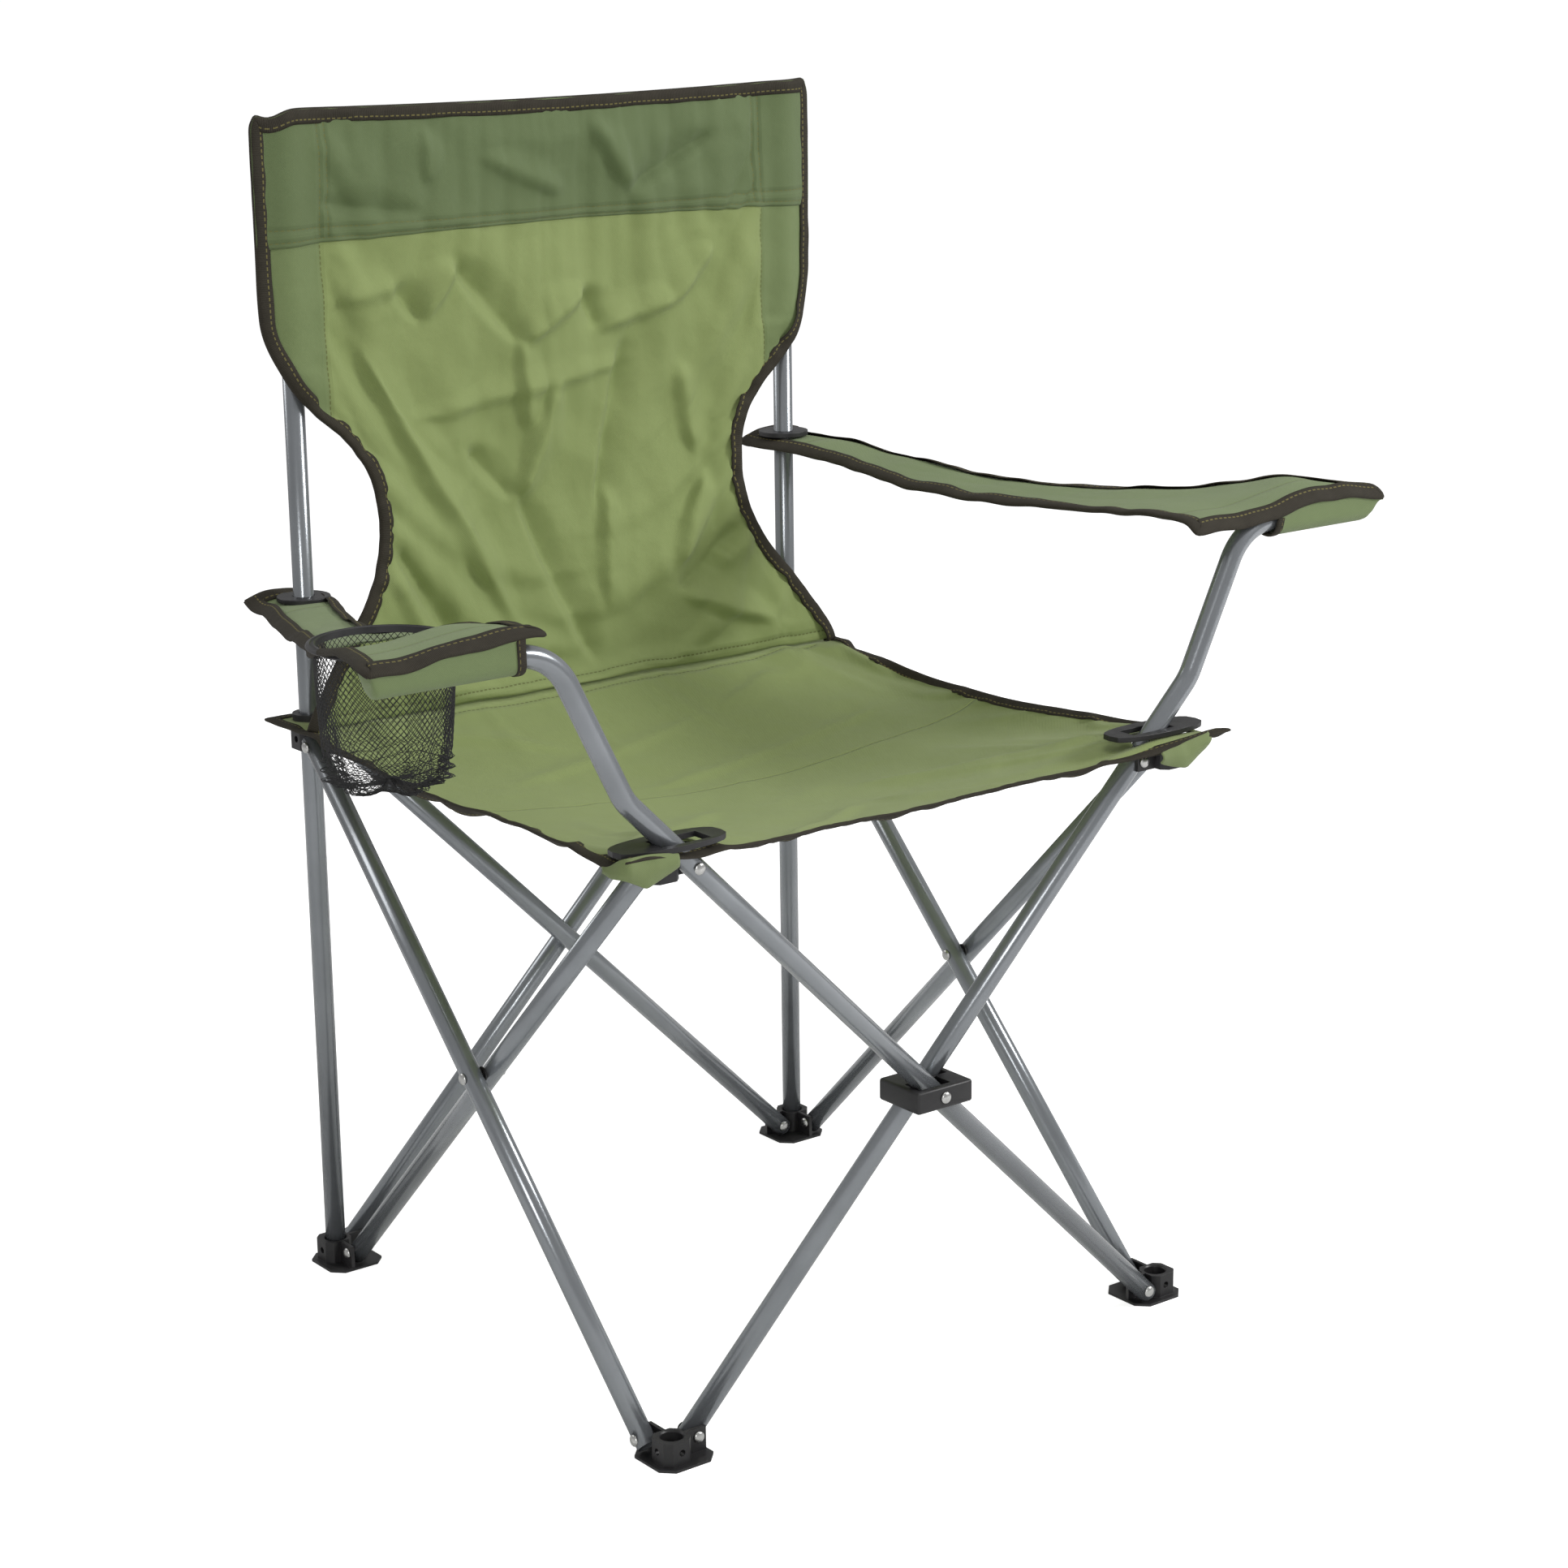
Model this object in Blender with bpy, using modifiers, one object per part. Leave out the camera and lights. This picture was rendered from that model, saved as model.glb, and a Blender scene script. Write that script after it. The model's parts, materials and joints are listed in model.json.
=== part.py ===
"""Folding camp chair: a four-sided scissor frame of steel tube with a fabric seat, back and armrests.

Units are metres. The floor is z = 0, the chair faces -Y and its middle is x = y = 0. The four
corners of the frame are numbered 0 front left, 1 front right, 2 rear right and 3 rear left, each a
quarter turn on from the last. Every side of the frame is a scissor of an outer and an inner tube.
"""

from math import asin, cos, pi, sin, sqrt

import bmesh
import bpy
from mathutils import Matrix, Vector

# Overall sizes
HALF_WIDTH = 0.235  # middle to the corner axes, in X
HALF_DEPTH = 0.235  # middle to the corner axes, in Y
SCISSOR_HEIGHT = 0.426  # foot pivot to top pivot
POST_TOP = 0.9187

# Tubes
TUBE_RADIUS = 0.008
TUBE_WALL = 0.001
TUBE_SIDES = 20
TUBE_SPACE = 0.002  # between the two tubes of a scissor
END_BEYOND_PIVOT = 0.007
LOWER_BEND_OUT = 0.055  # outwards from the top pivot, on the scissor tube's own line
UPPER_BEND = Vector((0.110, 0.166))  # outwards and up from the top pivot
BEND_RADIUS = 0.035
BAR_OUT = 0.245  # the armrest bar's end, outwards from the top pivot

# Fits
GAP = 0.0003
RIVET_RADIUS = 0.0023
RIVET_HOLE = RIVET_RADIUS + GAP
RIVET_HEAD_RADIUS = RIVET_RADIUS + 0.0022
RIVET_HEAD_HEIGHT = 0.0022
RIVET_SIDES = 12
POST_BORE = TUBE_RADIUS + GAP
TUBE_END_ROOM = 0.003  # from a tube's side at its pivot to the boss and the base

# Foot moulding, which also serves upside down as front bracket and slider
BOSS_OUT = POST_BORE + 0.0047  # corner axis to the boss's outer faces
BOSS_IN = POST_BORE + 0.0027
BOSS_CHAMFER = 0.005
PIVOT_INSET = BOSS_IN + TUBE_RADIUS + TUBE_END_ROOM  # corner axis to the pivots of its two tubes
BASE_OUT = BOSS_OUT + 0.005  # corner axis to the base's outer edges
BASE_IN = PIVOT_INSET + 0.008
BASE_CHAMFER = 0.009
BASE_THICKNESS = 0.002
FOOT_PIVOT_HEIGHT = BASE_THICKNESS + TUBE_RADIUS + TUBE_END_ROOM
BOSS_HEIGHT = FOOT_PIVOT_HEIGHT + 0.007
RIM_CHAMFER = 0.0012
EAR_THICKNESS = 0.003
EAR_END = PIVOT_INSET + 0.0065
EAR_HEIGHT = BOSS_HEIGHT
SIDE_HOLE_HEIGHT = 0.0112

# Hub and spacers of the crossings
HUB_SIZE = Vector((0.052, 0.046, 0.017))
HUB_BEVEL = 0.0022
SPACER_RADIUS = 0.006

# Fabric
CLOTH = 0.003
SEAT_ROOM = 0.0013  # between the flat top of the corner mouldings and the seat's cloth
SEAT_LEVEL = 0.034  # the seat is level this far in from each corner
SEAT_REAR_SEAM = HALF_DEPTH - 0.039  # how far back the back panel meets the seat
SEAT_REAR_CORNER = HALF_DEPTH + 0.021
SEAT_FRONT_CORNER = HALF_DEPTH + 0.025
SEAT_FRONT_MIDDLE = HALF_DEPTH - 0.015
SEAT_HALF_AT_FRONT = HALF_WIDTH + 0.042
SEAT_HALF_AT_MIDDLE = HALF_WIDTH + 0.022
SEAT_HALF_AT_REAR = HALF_WIDTH + 0.027
PLATE_LENGTH = 0.090
PLATE_INSET = 0.002  # corner axis to the middle of the plate
PLATE_WIDTH = 0.036
PLATE_THICKNESS = 0.004
EYELET_RADIUS = POST_BORE + 0.0052
EYELET_HEIGHT = 0.0085
BACK_TOP = POST_TOP + 0.0063
# How far the back panel reaches past the posts' axes, at heights above its seam
BACK_EDGE = (
    (0.470, 0.027), (0.371, 0.026), (0.300, 0.026), (0.252, 0.0), (0.217, -0.037),
    (0.173, -0.059), (0.135, -0.058), (0.100, -0.045), (0.053, -0.010), (0.0, 0.023),
)
SEAM_ABOVE_SEAT = 0.0002
BACK_FRONT_OF_POST = TUBE_RADIUS + CLOTH / 2 + 0.0007  # post's axis to the middle of the cloth
SLEEVE_HALF_WIDTH = 0.027
SLEEVE_HALF_DEPTH = TUBE_RADIUS + 0.0032
SLEEVE_CLOTH = 0.0018
SLEEVE_BOTTOM = BACK_TOP - 0.183

# Armrests
ARM_REAR_RISE = {-1: -0.057, 1: 0.022}  # left, right: rear end above the front bar
ARM_BOW = {-1: 0.020, 1: -0.045}
ARM_BAR_END = HALF_WIDTH - PIVOT_INSET + BAR_OUT  # how far out the armrest's bar reaches, in X
ARM_REAR_X = HALF_WIDTH + 0.005
ARM_FRONT_X = ARM_BAR_END - 0.067
ARM_BEHIND_POST = 0.025
ARM_SAG = 0.014
ARM_SLEEVE_BORE = TUBE_RADIUS + 0.0013
ARM_SLEEVE_RADIUS = ARM_SLEEVE_BORE + 0.0017
ARM_SLEEVE_START = ARM_BAR_END - 0.106
ARM_SLEEVE_END = ARM_BAR_END + 0.006
ARM_RING_THICKNESS = 0.004
ARM_HOLE_RADIUS = POST_BORE + 0.0047
ARM_RING_RADIUS = ARM_HOLE_RADIUS + 0.008
CUP_X = 0.007 - ARM_FRONT_X
CUP_Y = 0.098 - HALF_DEPTH
CUP_RING_RADIUS = 0.052
CUP_RING_WIDTH = 0.007
CUP_RING_THICKNESS = 0.005
CUP_POCKET_RADIUS = CUP_RING_RADIUS - 0.005
CUP_POCKET_BOTTOM_RADIUS = CUP_POCKET_RADIUS - 0.011
CUP_POCKET_BELOW_BAR = 0.103

# Worked out from the sizes above
WELD = 1e-6
TOP_PIVOT_HEIGHT = FOOT_PIVOT_HEIGHT + SCISSOR_HEIGHT
TUBE_OFFSET = TUBE_RADIUS + TUBE_SPACE / 2  # corner plane to tube axis
EAR_FACE = TUBE_SPACE / 2 - GAP  # corner plane to the ear face the tube rubs on
MOULDING_TOP = TOP_PIVOT_HEIGHT + FOOT_PIVOT_HEIGHT  # flat top of brackets and sliders
CROSSING_HEIGHT = (FOOT_PIVOT_HEIGHT + TOP_PIVOT_HEIGHT) / 2
SEAT_HEIGHT = MOULDING_TOP + SEAT_ROOM + CLOTH / 2  # at the front corners
ARM_BAR_HEIGHT = TOP_PIVOT_HEIGHT + UPPER_BEND.y
ARM_REAR_HEIGHT = {hand: ARM_BAR_HEIGHT + rise for hand, rise in ARM_REAR_RISE.items()}
PLATE_BOTTOM = SEAT_HEIGHT + CLOTH / 2 + GAP
CUP_POCKET_BOTTOM = ARM_BAR_HEIGHT - CUP_POCKET_BELOW_BAR
CORNER_NAMES = ("front_left", "front_right", "rear_right", "rear_left")
SIDE_NAMES = ("left", "front", "right", "back")

STEEL = ("grey_painted_steel", (0.21, 0.22, 0.23), 0.38, 0.75)
PLASTIC = ("black_plastic", (0.016, 0.015, 0.016), 0.45, 0.0)
ZINC = ("zinc_rivet", (0.62, 0.62, 0.60), 0.3, 1.0)
GREEN = ("green_cloth", (0.21, 0.31, 0.10), 0.85, 0.0)
NET = ("black_net", (0.012, 0.012, 0.012), 0.8, 0.0)

parts = bpy.data.collections.new("folding_camp_chair")
cutters = bpy.data.collections.new("cutters")


def clear_scene():
    """Empties the scene and links the two collections."""
    for thing in list(bpy.data.objects):
        bpy.data.objects.remove(thing, do_unlink=True)
    bpy.context.scene.collection.children.link(parts)
    bpy.context.scene.collection.children.link(cutters)
    cutters.hide_render = True


def material(kind):
    """Returns the material of this kind, made on its first use."""
    name, colour, roughness, metallic = kind
    found = bpy.data.materials.get(name)
    if found:
        return found
    made = bpy.data.materials.new(name)
    made.use_nodes = True
    shader = made.node_tree.nodes["Principled BSDF"]
    shader.inputs["Base Color"].default_value = (*colour, 1)
    shader.inputs["Roughness"].default_value = roughness
    shader.inputs["Metallic"].default_value = metallic
    made.diffuse_color = (*colour, 1)
    return made


def add_part(name, mesh, kind, matrix=None, origin=None):
    """Adds a mesh as a part, with its object origin moved to a point such as a pivot."""
    if matrix:
        mesh.transform(matrix)
    part = bpy.data.objects.new(name, mesh)
    if origin is not None:
        mesh.transform(Matrix.Translation(-Vector(origin)))
        part.location = origin
    mesh.materials.append(material(kind))
    parts.objects.link(part)
    return part


def add_cutter(mesh, matrix=None):
    """Adds a mesh that only cuts or joins other parts."""
    if matrix:
        mesh.transform(matrix)
    cutter = bpy.data.objects.new("cutter", mesh)
    cutter.hide_render = True
    cutter.display_type = "WIRE"
    cutters.objects.link(cutter)
    return cutter


def combine(part, tools, operation="DIFFERENCE", solver="EXACT"):
    """Cuts the tools from a part, or joins them to it."""
    for tool in tools:
        change = part.modifiers.new(operation.lower(), "BOOLEAN")
        change.operation = operation
        change.solver = solver
        change.object = tool


def mesh_of(build):
    """Returns a new mesh that a function fills in through bmesh."""
    shape = bmesh.new()
    build(shape)
    bmesh.ops.remove_doubles(shape, verts=shape.verts, dist=WELD)
    bmesh.ops.recalc_face_normals(shape, faces=shape.faces)
    mesh = bpy.data.meshes.new("shape")
    shape.to_mesh(mesh)
    shape.free()
    return mesh


def box_mesh(low, high):
    """Returns a box between two corners."""
    low = Vector(low)
    high = Vector(high)
    size = Matrix.Diagonal((high - low).to_4d())
    place = Matrix.Translation((low + high) / 2) @ size
    return mesh_of(lambda shape: bmesh.ops.create_cube(shape, size=1, matrix=place))


def rod_mesh(start, end, radius, sides=16, end_radius=None):
    """Returns a round bar, or a cone, between two points."""
    start = Vector(start)
    along = Vector(end) - start
    turn = along.to_track_quat("Z", "Y").to_matrix().to_4x4()
    place = Matrix.Translation(start + along / 2) @ turn
    last = radius if end_radius is None else end_radius
    return mesh_of(
        lambda shape: bmesh.ops.create_cone(
            shape, cap_ends=True, segments=sides, radius1=radius, radius2=last,
            depth=along.length, matrix=place,
        )
    )


def mesh_from_curve(curve):
    """Returns the mesh of a curve with its caps welded, and removes the curve."""
    holder = bpy.data.objects.new("curve", curve)
    cutters.objects.link(holder)
    graph = bpy.context.evaluated_depsgraph_get()
    graph.update()
    mesh = bpy.data.meshes.new_from_object(holder.evaluated_get(graph))
    bpy.data.objects.remove(holder)
    bpy.data.curves.remove(curve)
    solid = bmesh.new()
    solid.from_mesh(mesh)
    bmesh.ops.remove_doubles(solid, verts=solid.verts, dist=WELD)
    bmesh.ops.recalc_face_normals(solid, faces=solid.faces)
    solid.to_mesh(mesh)
    solid.free()
    mesh.materials.clear()
    return mesh


def plate_mesh(outline, low, high):
    """Returns a flat outline in XY, given depth from one height to another."""
    curve = bpy.data.curves.new("outline", "CURVE")
    curve.dimensions = "2D"
    curve.fill_mode = "BOTH"
    curve.extrude = (high - low) / 2
    line = curve.splines.new("POLY")
    line.points.add(len(outline) - 1)
    for point, place in zip(line.points, outline):
        point.co = (*place, 0, 1)
    line.use_cyclic_u = True
    mesh = mesh_from_curve(curve)
    mesh.transform(Matrix.Translation((0, 0, (low + high) / 2)))
    return mesh


def turned_mesh(profile, steps):
    """Returns a profile of (radius, height) points turned about Z."""
    def build(shape):
        points = [shape.verts.new((radius, 0, height)) for radius, height in profile]
        lines = [shape.edges.new(pair) for pair in zip(points, points[1:])]
        bmesh.ops.spin(
            shape, geom=points + lines, axis=(0, 0, 1), cent=(0, 0, 0), steps=steps,
            angle=2 * pi, use_merge=True,
        )
    return mesh_of(build)


def rounded_route(corners, radius, steps=5):
    """Returns the points of a route with an arc of this radius at each inner corner."""
    route = [corners[0]]
    for before, corner, after in zip(corners, corners[1:], corners[2:]):
        back = (before - corner).normalized()
        on = (after - corner).normalized()
        half = back.angle(on) / 2
        reach = radius / (sin(half) / cos(half))
        middle = corner + (back + on).normalized() * (radius / sin(half))
        start = corner + back * reach - middle
        end = corner + on * reach - middle
        for step in range(steps + 1):
            route.append(middle + radius * start.slerp(end, step / steps).normalized())
    return route + [corners[-1]]


def bar_mesh(route, radius):
    """Returns a round bar along a route."""
    curve = bpy.data.curves.new("route", "CURVE")
    curve.dimensions = "3D"
    curve.bevel_depth = radius
    curve.bevel_resolution = TUBE_SIDES // 2 - 2
    curve.use_fill_caps = True
    line = curve.splines.new("POLY")
    line.points.add(len(route) - 1)
    for point, place in zip(line.points, route):
        point.co = (*place, 1)
    return mesh_from_curve(curve)


def add_tube(name, corners, pivots, across, origin):
    """Adds an open tube along a route, with holes for its rivets."""
    route = rounded_route(corners, BEND_RADIUS)
    tube = add_part(name, bar_mesh(route, TUBE_RADIUS), STEEL)
    longer = list(route)
    longer[0] = route[0] + (route[0] - route[1]).normalized() * TUBE_RADIUS
    longer[-1] = route[-1] + (route[-1] - route[-2]).normalized() * TUBE_RADIUS
    cuts = [add_cutter(bar_mesh(longer, TUBE_RADIUS - TUBE_WALL))]
    reach = across * TUBE_RADIUS * 2
    for pivot in pivots:
        cuts.append(add_cutter(rod_mesh(pivot - reach, pivot + reach, RIVET_HOLE, 12)))
    combine(tube, cuts, solver="MANIFOLD")
    tube.data.transform(Matrix.Translation(-origin))
    tube.location = origin
    return tube


def add_rivet(name, start, end, start_head=True):
    """Adds a rivet whose shank runs from start to end, with a domed head beyond each end.

    Its origin is at the start of its shank, on the pivot's axis.
    """
    along = Vector(end) - Vector(start)
    length = along.length
    dome = [(0, -RIVET_HEAD_HEIGHT), (0.6 * RIVET_HEAD_RADIUS, -0.8 * RIVET_HEAD_HEIGHT)]
    low = dome + [(RIVET_HEAD_RADIUS, 0)] if start_head else [(0, 0)]
    high = [(radius, length - height) for radius, height in reversed(dome)]
    shank = [(RIVET_RADIUS, 0), (RIVET_RADIUS, length)]
    profile = low + shank + [(RIVET_HEAD_RADIUS, length)] + high
    turn = along.to_track_quat("Z", "Y").to_matrix().to_4x4()
    rivet = add_part(name, turned_mesh(profile, RIVET_SIDES), ZINC, turn)
    rivet.location = start


def chamfered_square(low, high, chamfer):
    """Returns the outline of a square with cut corners, centred on no particular point."""
    near = low + chamfer
    far = high - chamfer
    return [
        (near, low), (far, low), (high, near), (high, far),
        (far, high), (near, high), (low, far), (low, near),
    ]


def corner_matrix(corner, turned_over):
    """Returns the place of a moulding: its own +X and +Y point into the chair."""
    half = (HALF_WIDTH, HALF_DEPTH) if corner % 2 == 0 else (HALF_DEPTH, HALF_WIDTH)
    quarter = Matrix.Rotation(corner * pi / 2, 4, "Z")
    place = quarter @ Matrix.Translation((-half[0], -half[1], 0))
    if not turned_over:
        return place
    flip = Matrix.Rotation(pi, 4, Vector((1, 1, 0)))
    return Matrix.Translation((0, 0, MOULDING_TOP)) @ place @ flip


def moulding_holes(matrix):
    """Returns cutters for the two rivet holes in a moulding's ears."""
    outer = rod_mesh((-0.004, PIVOT_INSET, FOOT_PIVOT_HEIGHT),
                     (0.006, PIVOT_INSET, FOOT_PIVOT_HEIGHT), RIVET_HOLE, 12)
    inner = rod_mesh((PIVOT_INSET, -0.006, FOOT_PIVOT_HEIGHT),
                     (PIVOT_INSET, 0.004, FOOT_PIVOT_HEIGHT), RIVET_HOLE, 12)
    return [add_cutter(outer, matrix), add_cutter(inner, matrix)]


def add_moulding(name, corner, turned_over, bored, hung_on_outer):
    """Adds a foot, bracket or slider: base, boss for the post and an ear for each tube.

    Its origin is on the pivot of the tube that carries it, its outer or its inner one.
    """
    matrix = corner_matrix(corner, turned_over)
    base = plate_mesh(chamfered_square(-BASE_OUT, BASE_IN, BASE_CHAMFER), 0, BASE_THICKNESS)
    part = add_part(name, base, PLASTIC, matrix)
    root = BASE_THICKNESS / 2
    boss = plate_mesh(chamfered_square(-BOSS_OUT, BOSS_IN, BOSS_CHAMFER), root, BOSS_HEIGHT)
    start = BOSS_IN - BOSS_CHAMFER
    ear_out = box_mesh((-EAR_FACE, start, root), (EAR_THICKNESS - EAR_FACE, EAR_END, EAR_HEIGHT))
    ear_in = box_mesh((start, EAR_FACE - EAR_THICKNESS, root), (EAR_END, EAR_FACE, EAR_HEIGHT))
    for tool in (boss, ear_out, ear_in):
        combine(part, [add_cutter(tool, matrix)], "UNION")
    combine(part, moulding_holes(matrix))
    if bored:
        bottom = -BASE_THICKNESS if turned_over else BASE_THICKNESS
        bore = rod_mesh((0, 0, bottom), (0, 0, 2 * BOSS_HEIGHT), POST_BORE, 24)
        rim = rod_mesh((0, 0, BOSS_HEIGHT - RIM_CHAMFER), (0, 0, BOSS_HEIGHT + RIM_CHAMFER),
                       POST_BORE, 24, POST_BORE + 2 * RIM_CHAMFER)
        middle = (0, 0, SIDE_HOLE_HEIGHT)
        sides = [rod_mesh(middle, (-0.03, 0, SIDE_HOLE_HEIGHT), RIVET_HOLE, 12),
                 rod_mesh(middle, (0, -0.03, SIDE_HOLE_HEIGHT), RIVET_HOLE, 12)]
        combine(part, [add_cutter(tool, matrix) for tool in (bore, rim, *sides)])
    if hung_on_outer:
        origin = matrix @ Vector((-TUBE_OFFSET, PIVOT_INSET, FOOT_PIVOT_HEIGHT))
    else:
        origin = matrix @ Vector((PIVOT_INSET, TUBE_OFFSET, FOOT_PIVOT_HEIGHT))
    part.data.transform(Matrix.Translation(-origin))
    part.location = origin
    return part


def add_moulding_rivets(name, corner, turned_over):
    """Adds the rivets that hold a moulding's outer and inner tubes."""
    matrix = corner_matrix(corner, turned_over)
    tube_side = TUBE_OFFSET + TUBE_RADIUS + GAP
    ear_side = EAR_THICKNESS - EAR_FACE + GAP
    outer = [matrix @ Vector((x, PIVOT_INSET, FOOT_PIVOT_HEIGHT)) for x in (-tube_side, ear_side)]
    inner = [matrix @ Vector((PIVOT_INSET, y, FOOT_PIVOT_HEIGHT)) for y in (tube_side, -ear_side)]
    add_rivet(f"{name}_outer_rivet", *outer)
    add_rivet(f"{name}_inner_rivet", *inner)


def side_frame(side):
    """Returns a side's turn, half its own length and half the frame across it."""
    half_length, half_across = (
        (HALF_DEPTH, HALF_WIDTH) if side % 2 == 0 else (HALF_WIDTH, HALF_DEPTH)
    )
    return Matrix.Rotation(side * pi / 2, 4, "Z"), half_length, half_across


def scissor_points(side, outer):
    """Returns the foot pivot, crossing and top pivot of one tube of a side's scissor.

    In the left side's own frame the outer tube runs from the front foot up to the rear, the inner
    tube from the rear foot up to the front.
    """
    turn, half_length, half_across = side_frame(side)
    reach = half_length - PIVOT_INSET
    x = -half_across + (-TUBE_OFFSET if outer else TUBE_OFFSET)
    foot_y = -reach if outer else reach
    local = ((foot_y, FOOT_PIVOT_HEIGHT), (0, CROSSING_HEIGHT), (-foot_y, TOP_PIVOT_HEIGHT))
    return [turn @ Vector((x, y, z)) for y, z in local]


def add_scissor_tube(side, outer):
    """Adds a straight scissor tube, or on the front one that goes on up as the armrest's upright."""
    foot, crossing, top = scissor_points(side, outer)
    along = (top - foot).normalized()
    name = f"{SIDE_NAMES[side]}_{'outer' if outer else 'inner'}_tube"
    across = Vector((1, 0, 0)) if side % 2 == 0 else Vector((0, 1, 0))
    corners = [foot - along * END_BEYOND_PIVOT, top + along * END_BEYOND_PIVOT]
    if SIDE_NAMES[side] == "front":
        hand = 1 if top.x > 0 else -1
        lower = Vector((LOWER_BEND_OUT, LOWER_BEND_OUT * (top.z - foot.z) / abs(top.x - foot.x)))
        bends = [top + Vector((hand * bend.x, 0, bend.y)) for bend in (lower, UPPER_BEND)]
        corners = [corners[0], *bends, Vector((hand * ARM_BAR_END, top.y, bends[1].z))]
    origin = {"left_outer_tube": crossing, "back_inner_tube": crossing,
              "right_inner_tube": crossing, "front_outer_tube": top}.get(name, foot)
    add_tube(name, corners, (foot, crossing, top), across, origin)


def add_crossing(side):
    """Adds the spacer and rivet where the two tubes of a side cross."""
    turn, _, half_across = side_frame(side)
    name = SIDE_NAMES[side]
    thick = TUBE_SPACE / 2 - GAP
    middle = turn @ Vector((-half_across, 0, CROSSING_HEIGHT))
    out = turn @ Vector((-1, 0, 0))
    spacer_mesh = rod_mesh(middle - out * thick, middle + out * thick, SPACER_RADIUS, 20)
    spacer = add_part(f"{name}_spacer", spacer_mesh, PLASTIC, None, middle)
    hole = rod_mesh(middle - out * TUBE_RADIUS, middle + out * TUBE_RADIUS, RIVET_HOLE, 12)
    combine(spacer, [add_cutter(hole)])
    reach = TUBE_OFFSET + TUBE_RADIUS + GAP
    add_rivet(f"{name}_crossing_rivet", middle + out * reach, middle - out * reach)


def hub_slot(hand, y):
    """Returns a cutter for the space a tube swings through inside the hub.

    The tube stands between its open slope of SCISSOR_HEIGHT over the pivots' spacing and upright.
    """
    run = 2 * (HALF_WIDTH - PIVOT_INSET)
    slope = asin(SCISSOR_HEIGHT / sqrt(SCISSOR_HEIGHT**2 + run**2))
    room = TUBE_RADIUS + GAP
    top = HUB_SIZE.z / 2 + GAP
    near = room + GAP
    level = room / sin(slope) + GAP
    far = top / (sin(slope) / cos(slope)) + room / sin(slope) + GAP
    outline = [(near, top), (-far, top), (-level, 0), (-near, -top), (far, -top), (level, 0)]
    upright = Matrix.Rotation(pi / 2, 4, "X")
    mesh = plate_mesh([(hand * x, z) for x, z in outline], -room, room)
    return add_cutter(mesh, Matrix.Translation((0, y, CROSSING_HEIGHT)) @ upright)


def add_hub():
    """Adds the block that the front tubes cross in, and its rivet."""
    middle = Vector((0, -HALF_DEPTH, CROSSING_HEIGHT))
    hub = add_part("hub", box_mesh(-HUB_SIZE / 2, HUB_SIZE / 2), PLASTIC)
    hub.location = middle
    edges = hub.modifiers.new("rounded_edges", "BEVEL")
    edges.width = HUB_BEVEL
    edges.segments = 3
    front = hub_slot(1, -HALF_DEPTH - TUBE_OFFSET)
    rear = hub_slot(-1, -HALF_DEPTH + TUBE_OFFSET)
    reach = Vector((0, HUB_SIZE.y, 0))
    hole = add_cutter(rod_mesh(middle - reach, middle + reach, RIVET_HOLE, 12))
    combine(hub, [front, rear, hole])
    shank = Vector((0, HUB_SIZE.y / 2 + GAP, 0))
    add_rivet("hub_rivet", middle - shank, middle + shank)


def add_posts():
    """Adds the rear posts, open at both ends, and the rivets that fix them in their feet."""
    for corner, name in ((3, "left"), (2, "right")):
        matrix = corner_matrix(corner, False)
        low = matrix @ Vector((0, 0, BASE_THICKNESS + GAP))
        high = Vector((low.x, low.y, POST_TOP))
        side_hole = matrix @ Vector((-BOSS_OUT, 0, SIDE_HOLE_HEIGHT))
        middle = Vector((low.x, low.y, SIDE_HOLE_HEIGHT))
        post = add_part(f"post_{name}", rod_mesh(low, high, TUBE_RADIUS, TUBE_SIDES), STEEL)
        bore = rod_mesh(low - Vector((0, 0, 0.01)), high + Vector((0, 0, 0.01)),
                        TUBE_RADIUS - TUBE_WALL, TUBE_SIDES)
        hole = rod_mesh(side_hole, middle, RIVET_HOLE, 12)
        combine(post, [add_cutter(bore), add_cutter(hole)])
        inside = TUBE_RADIUS - TUBE_WALL - GAP
        inner = matrix @ Vector((-inside, 0, SIDE_HOLE_HEIGHT))
        outer = matrix @ Vector((-BOSS_OUT - GAP, 0, SIDE_HOLE_HEIGHT))
        add_rivet(f"post_{name}_rivet", inner, outer, start_head=False)


def arm_slot(hand):
    """Returns a cutter, over a front bracket, for the space an armrest's upright swings through."""
    offset = -TUBE_OFFSET if hand < 0 else TUBE_OFFSET
    room = TUBE_RADIUS + GAP
    run = 2 * (HALF_WIDTH - PIVOT_INSET)
    up = Vector((run, SCISSOR_HEIGHT)).normalized()  # along the tube, outwards and up
    under = Vector((up.y, -up.x)) * room
    reach = up * 0.08
    outline = [under, under + reach, Vector((-room, reach.y)), Vector((-room, 0))]
    upright = Matrix.Rotation(pi / 2, 4, "X")
    flat = [(hand * point.x, point.y) for point in outline]
    inside = TUBE_RADIUS + 0.8 * GAP
    outside = TUBE_RADIUS + (10 * GAP if hand < 0 else GAP)
    pivot = Vector((hand * (HALF_WIDTH - PIVOT_INSET), -HALF_DEPTH + offset, TOP_PIVOT_HEIGHT))
    mesh = plate_mesh(flat, -inside, outside)
    return add_cutter(mesh, Matrix.Translation(pivot) @ upright)


def smooth(value):
    """Returns 0 below 0, 1 above 1 and an S-curve between."""
    value = min(max(value, 0), 1)
    return value * value * (3 - 2 * value)


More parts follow.
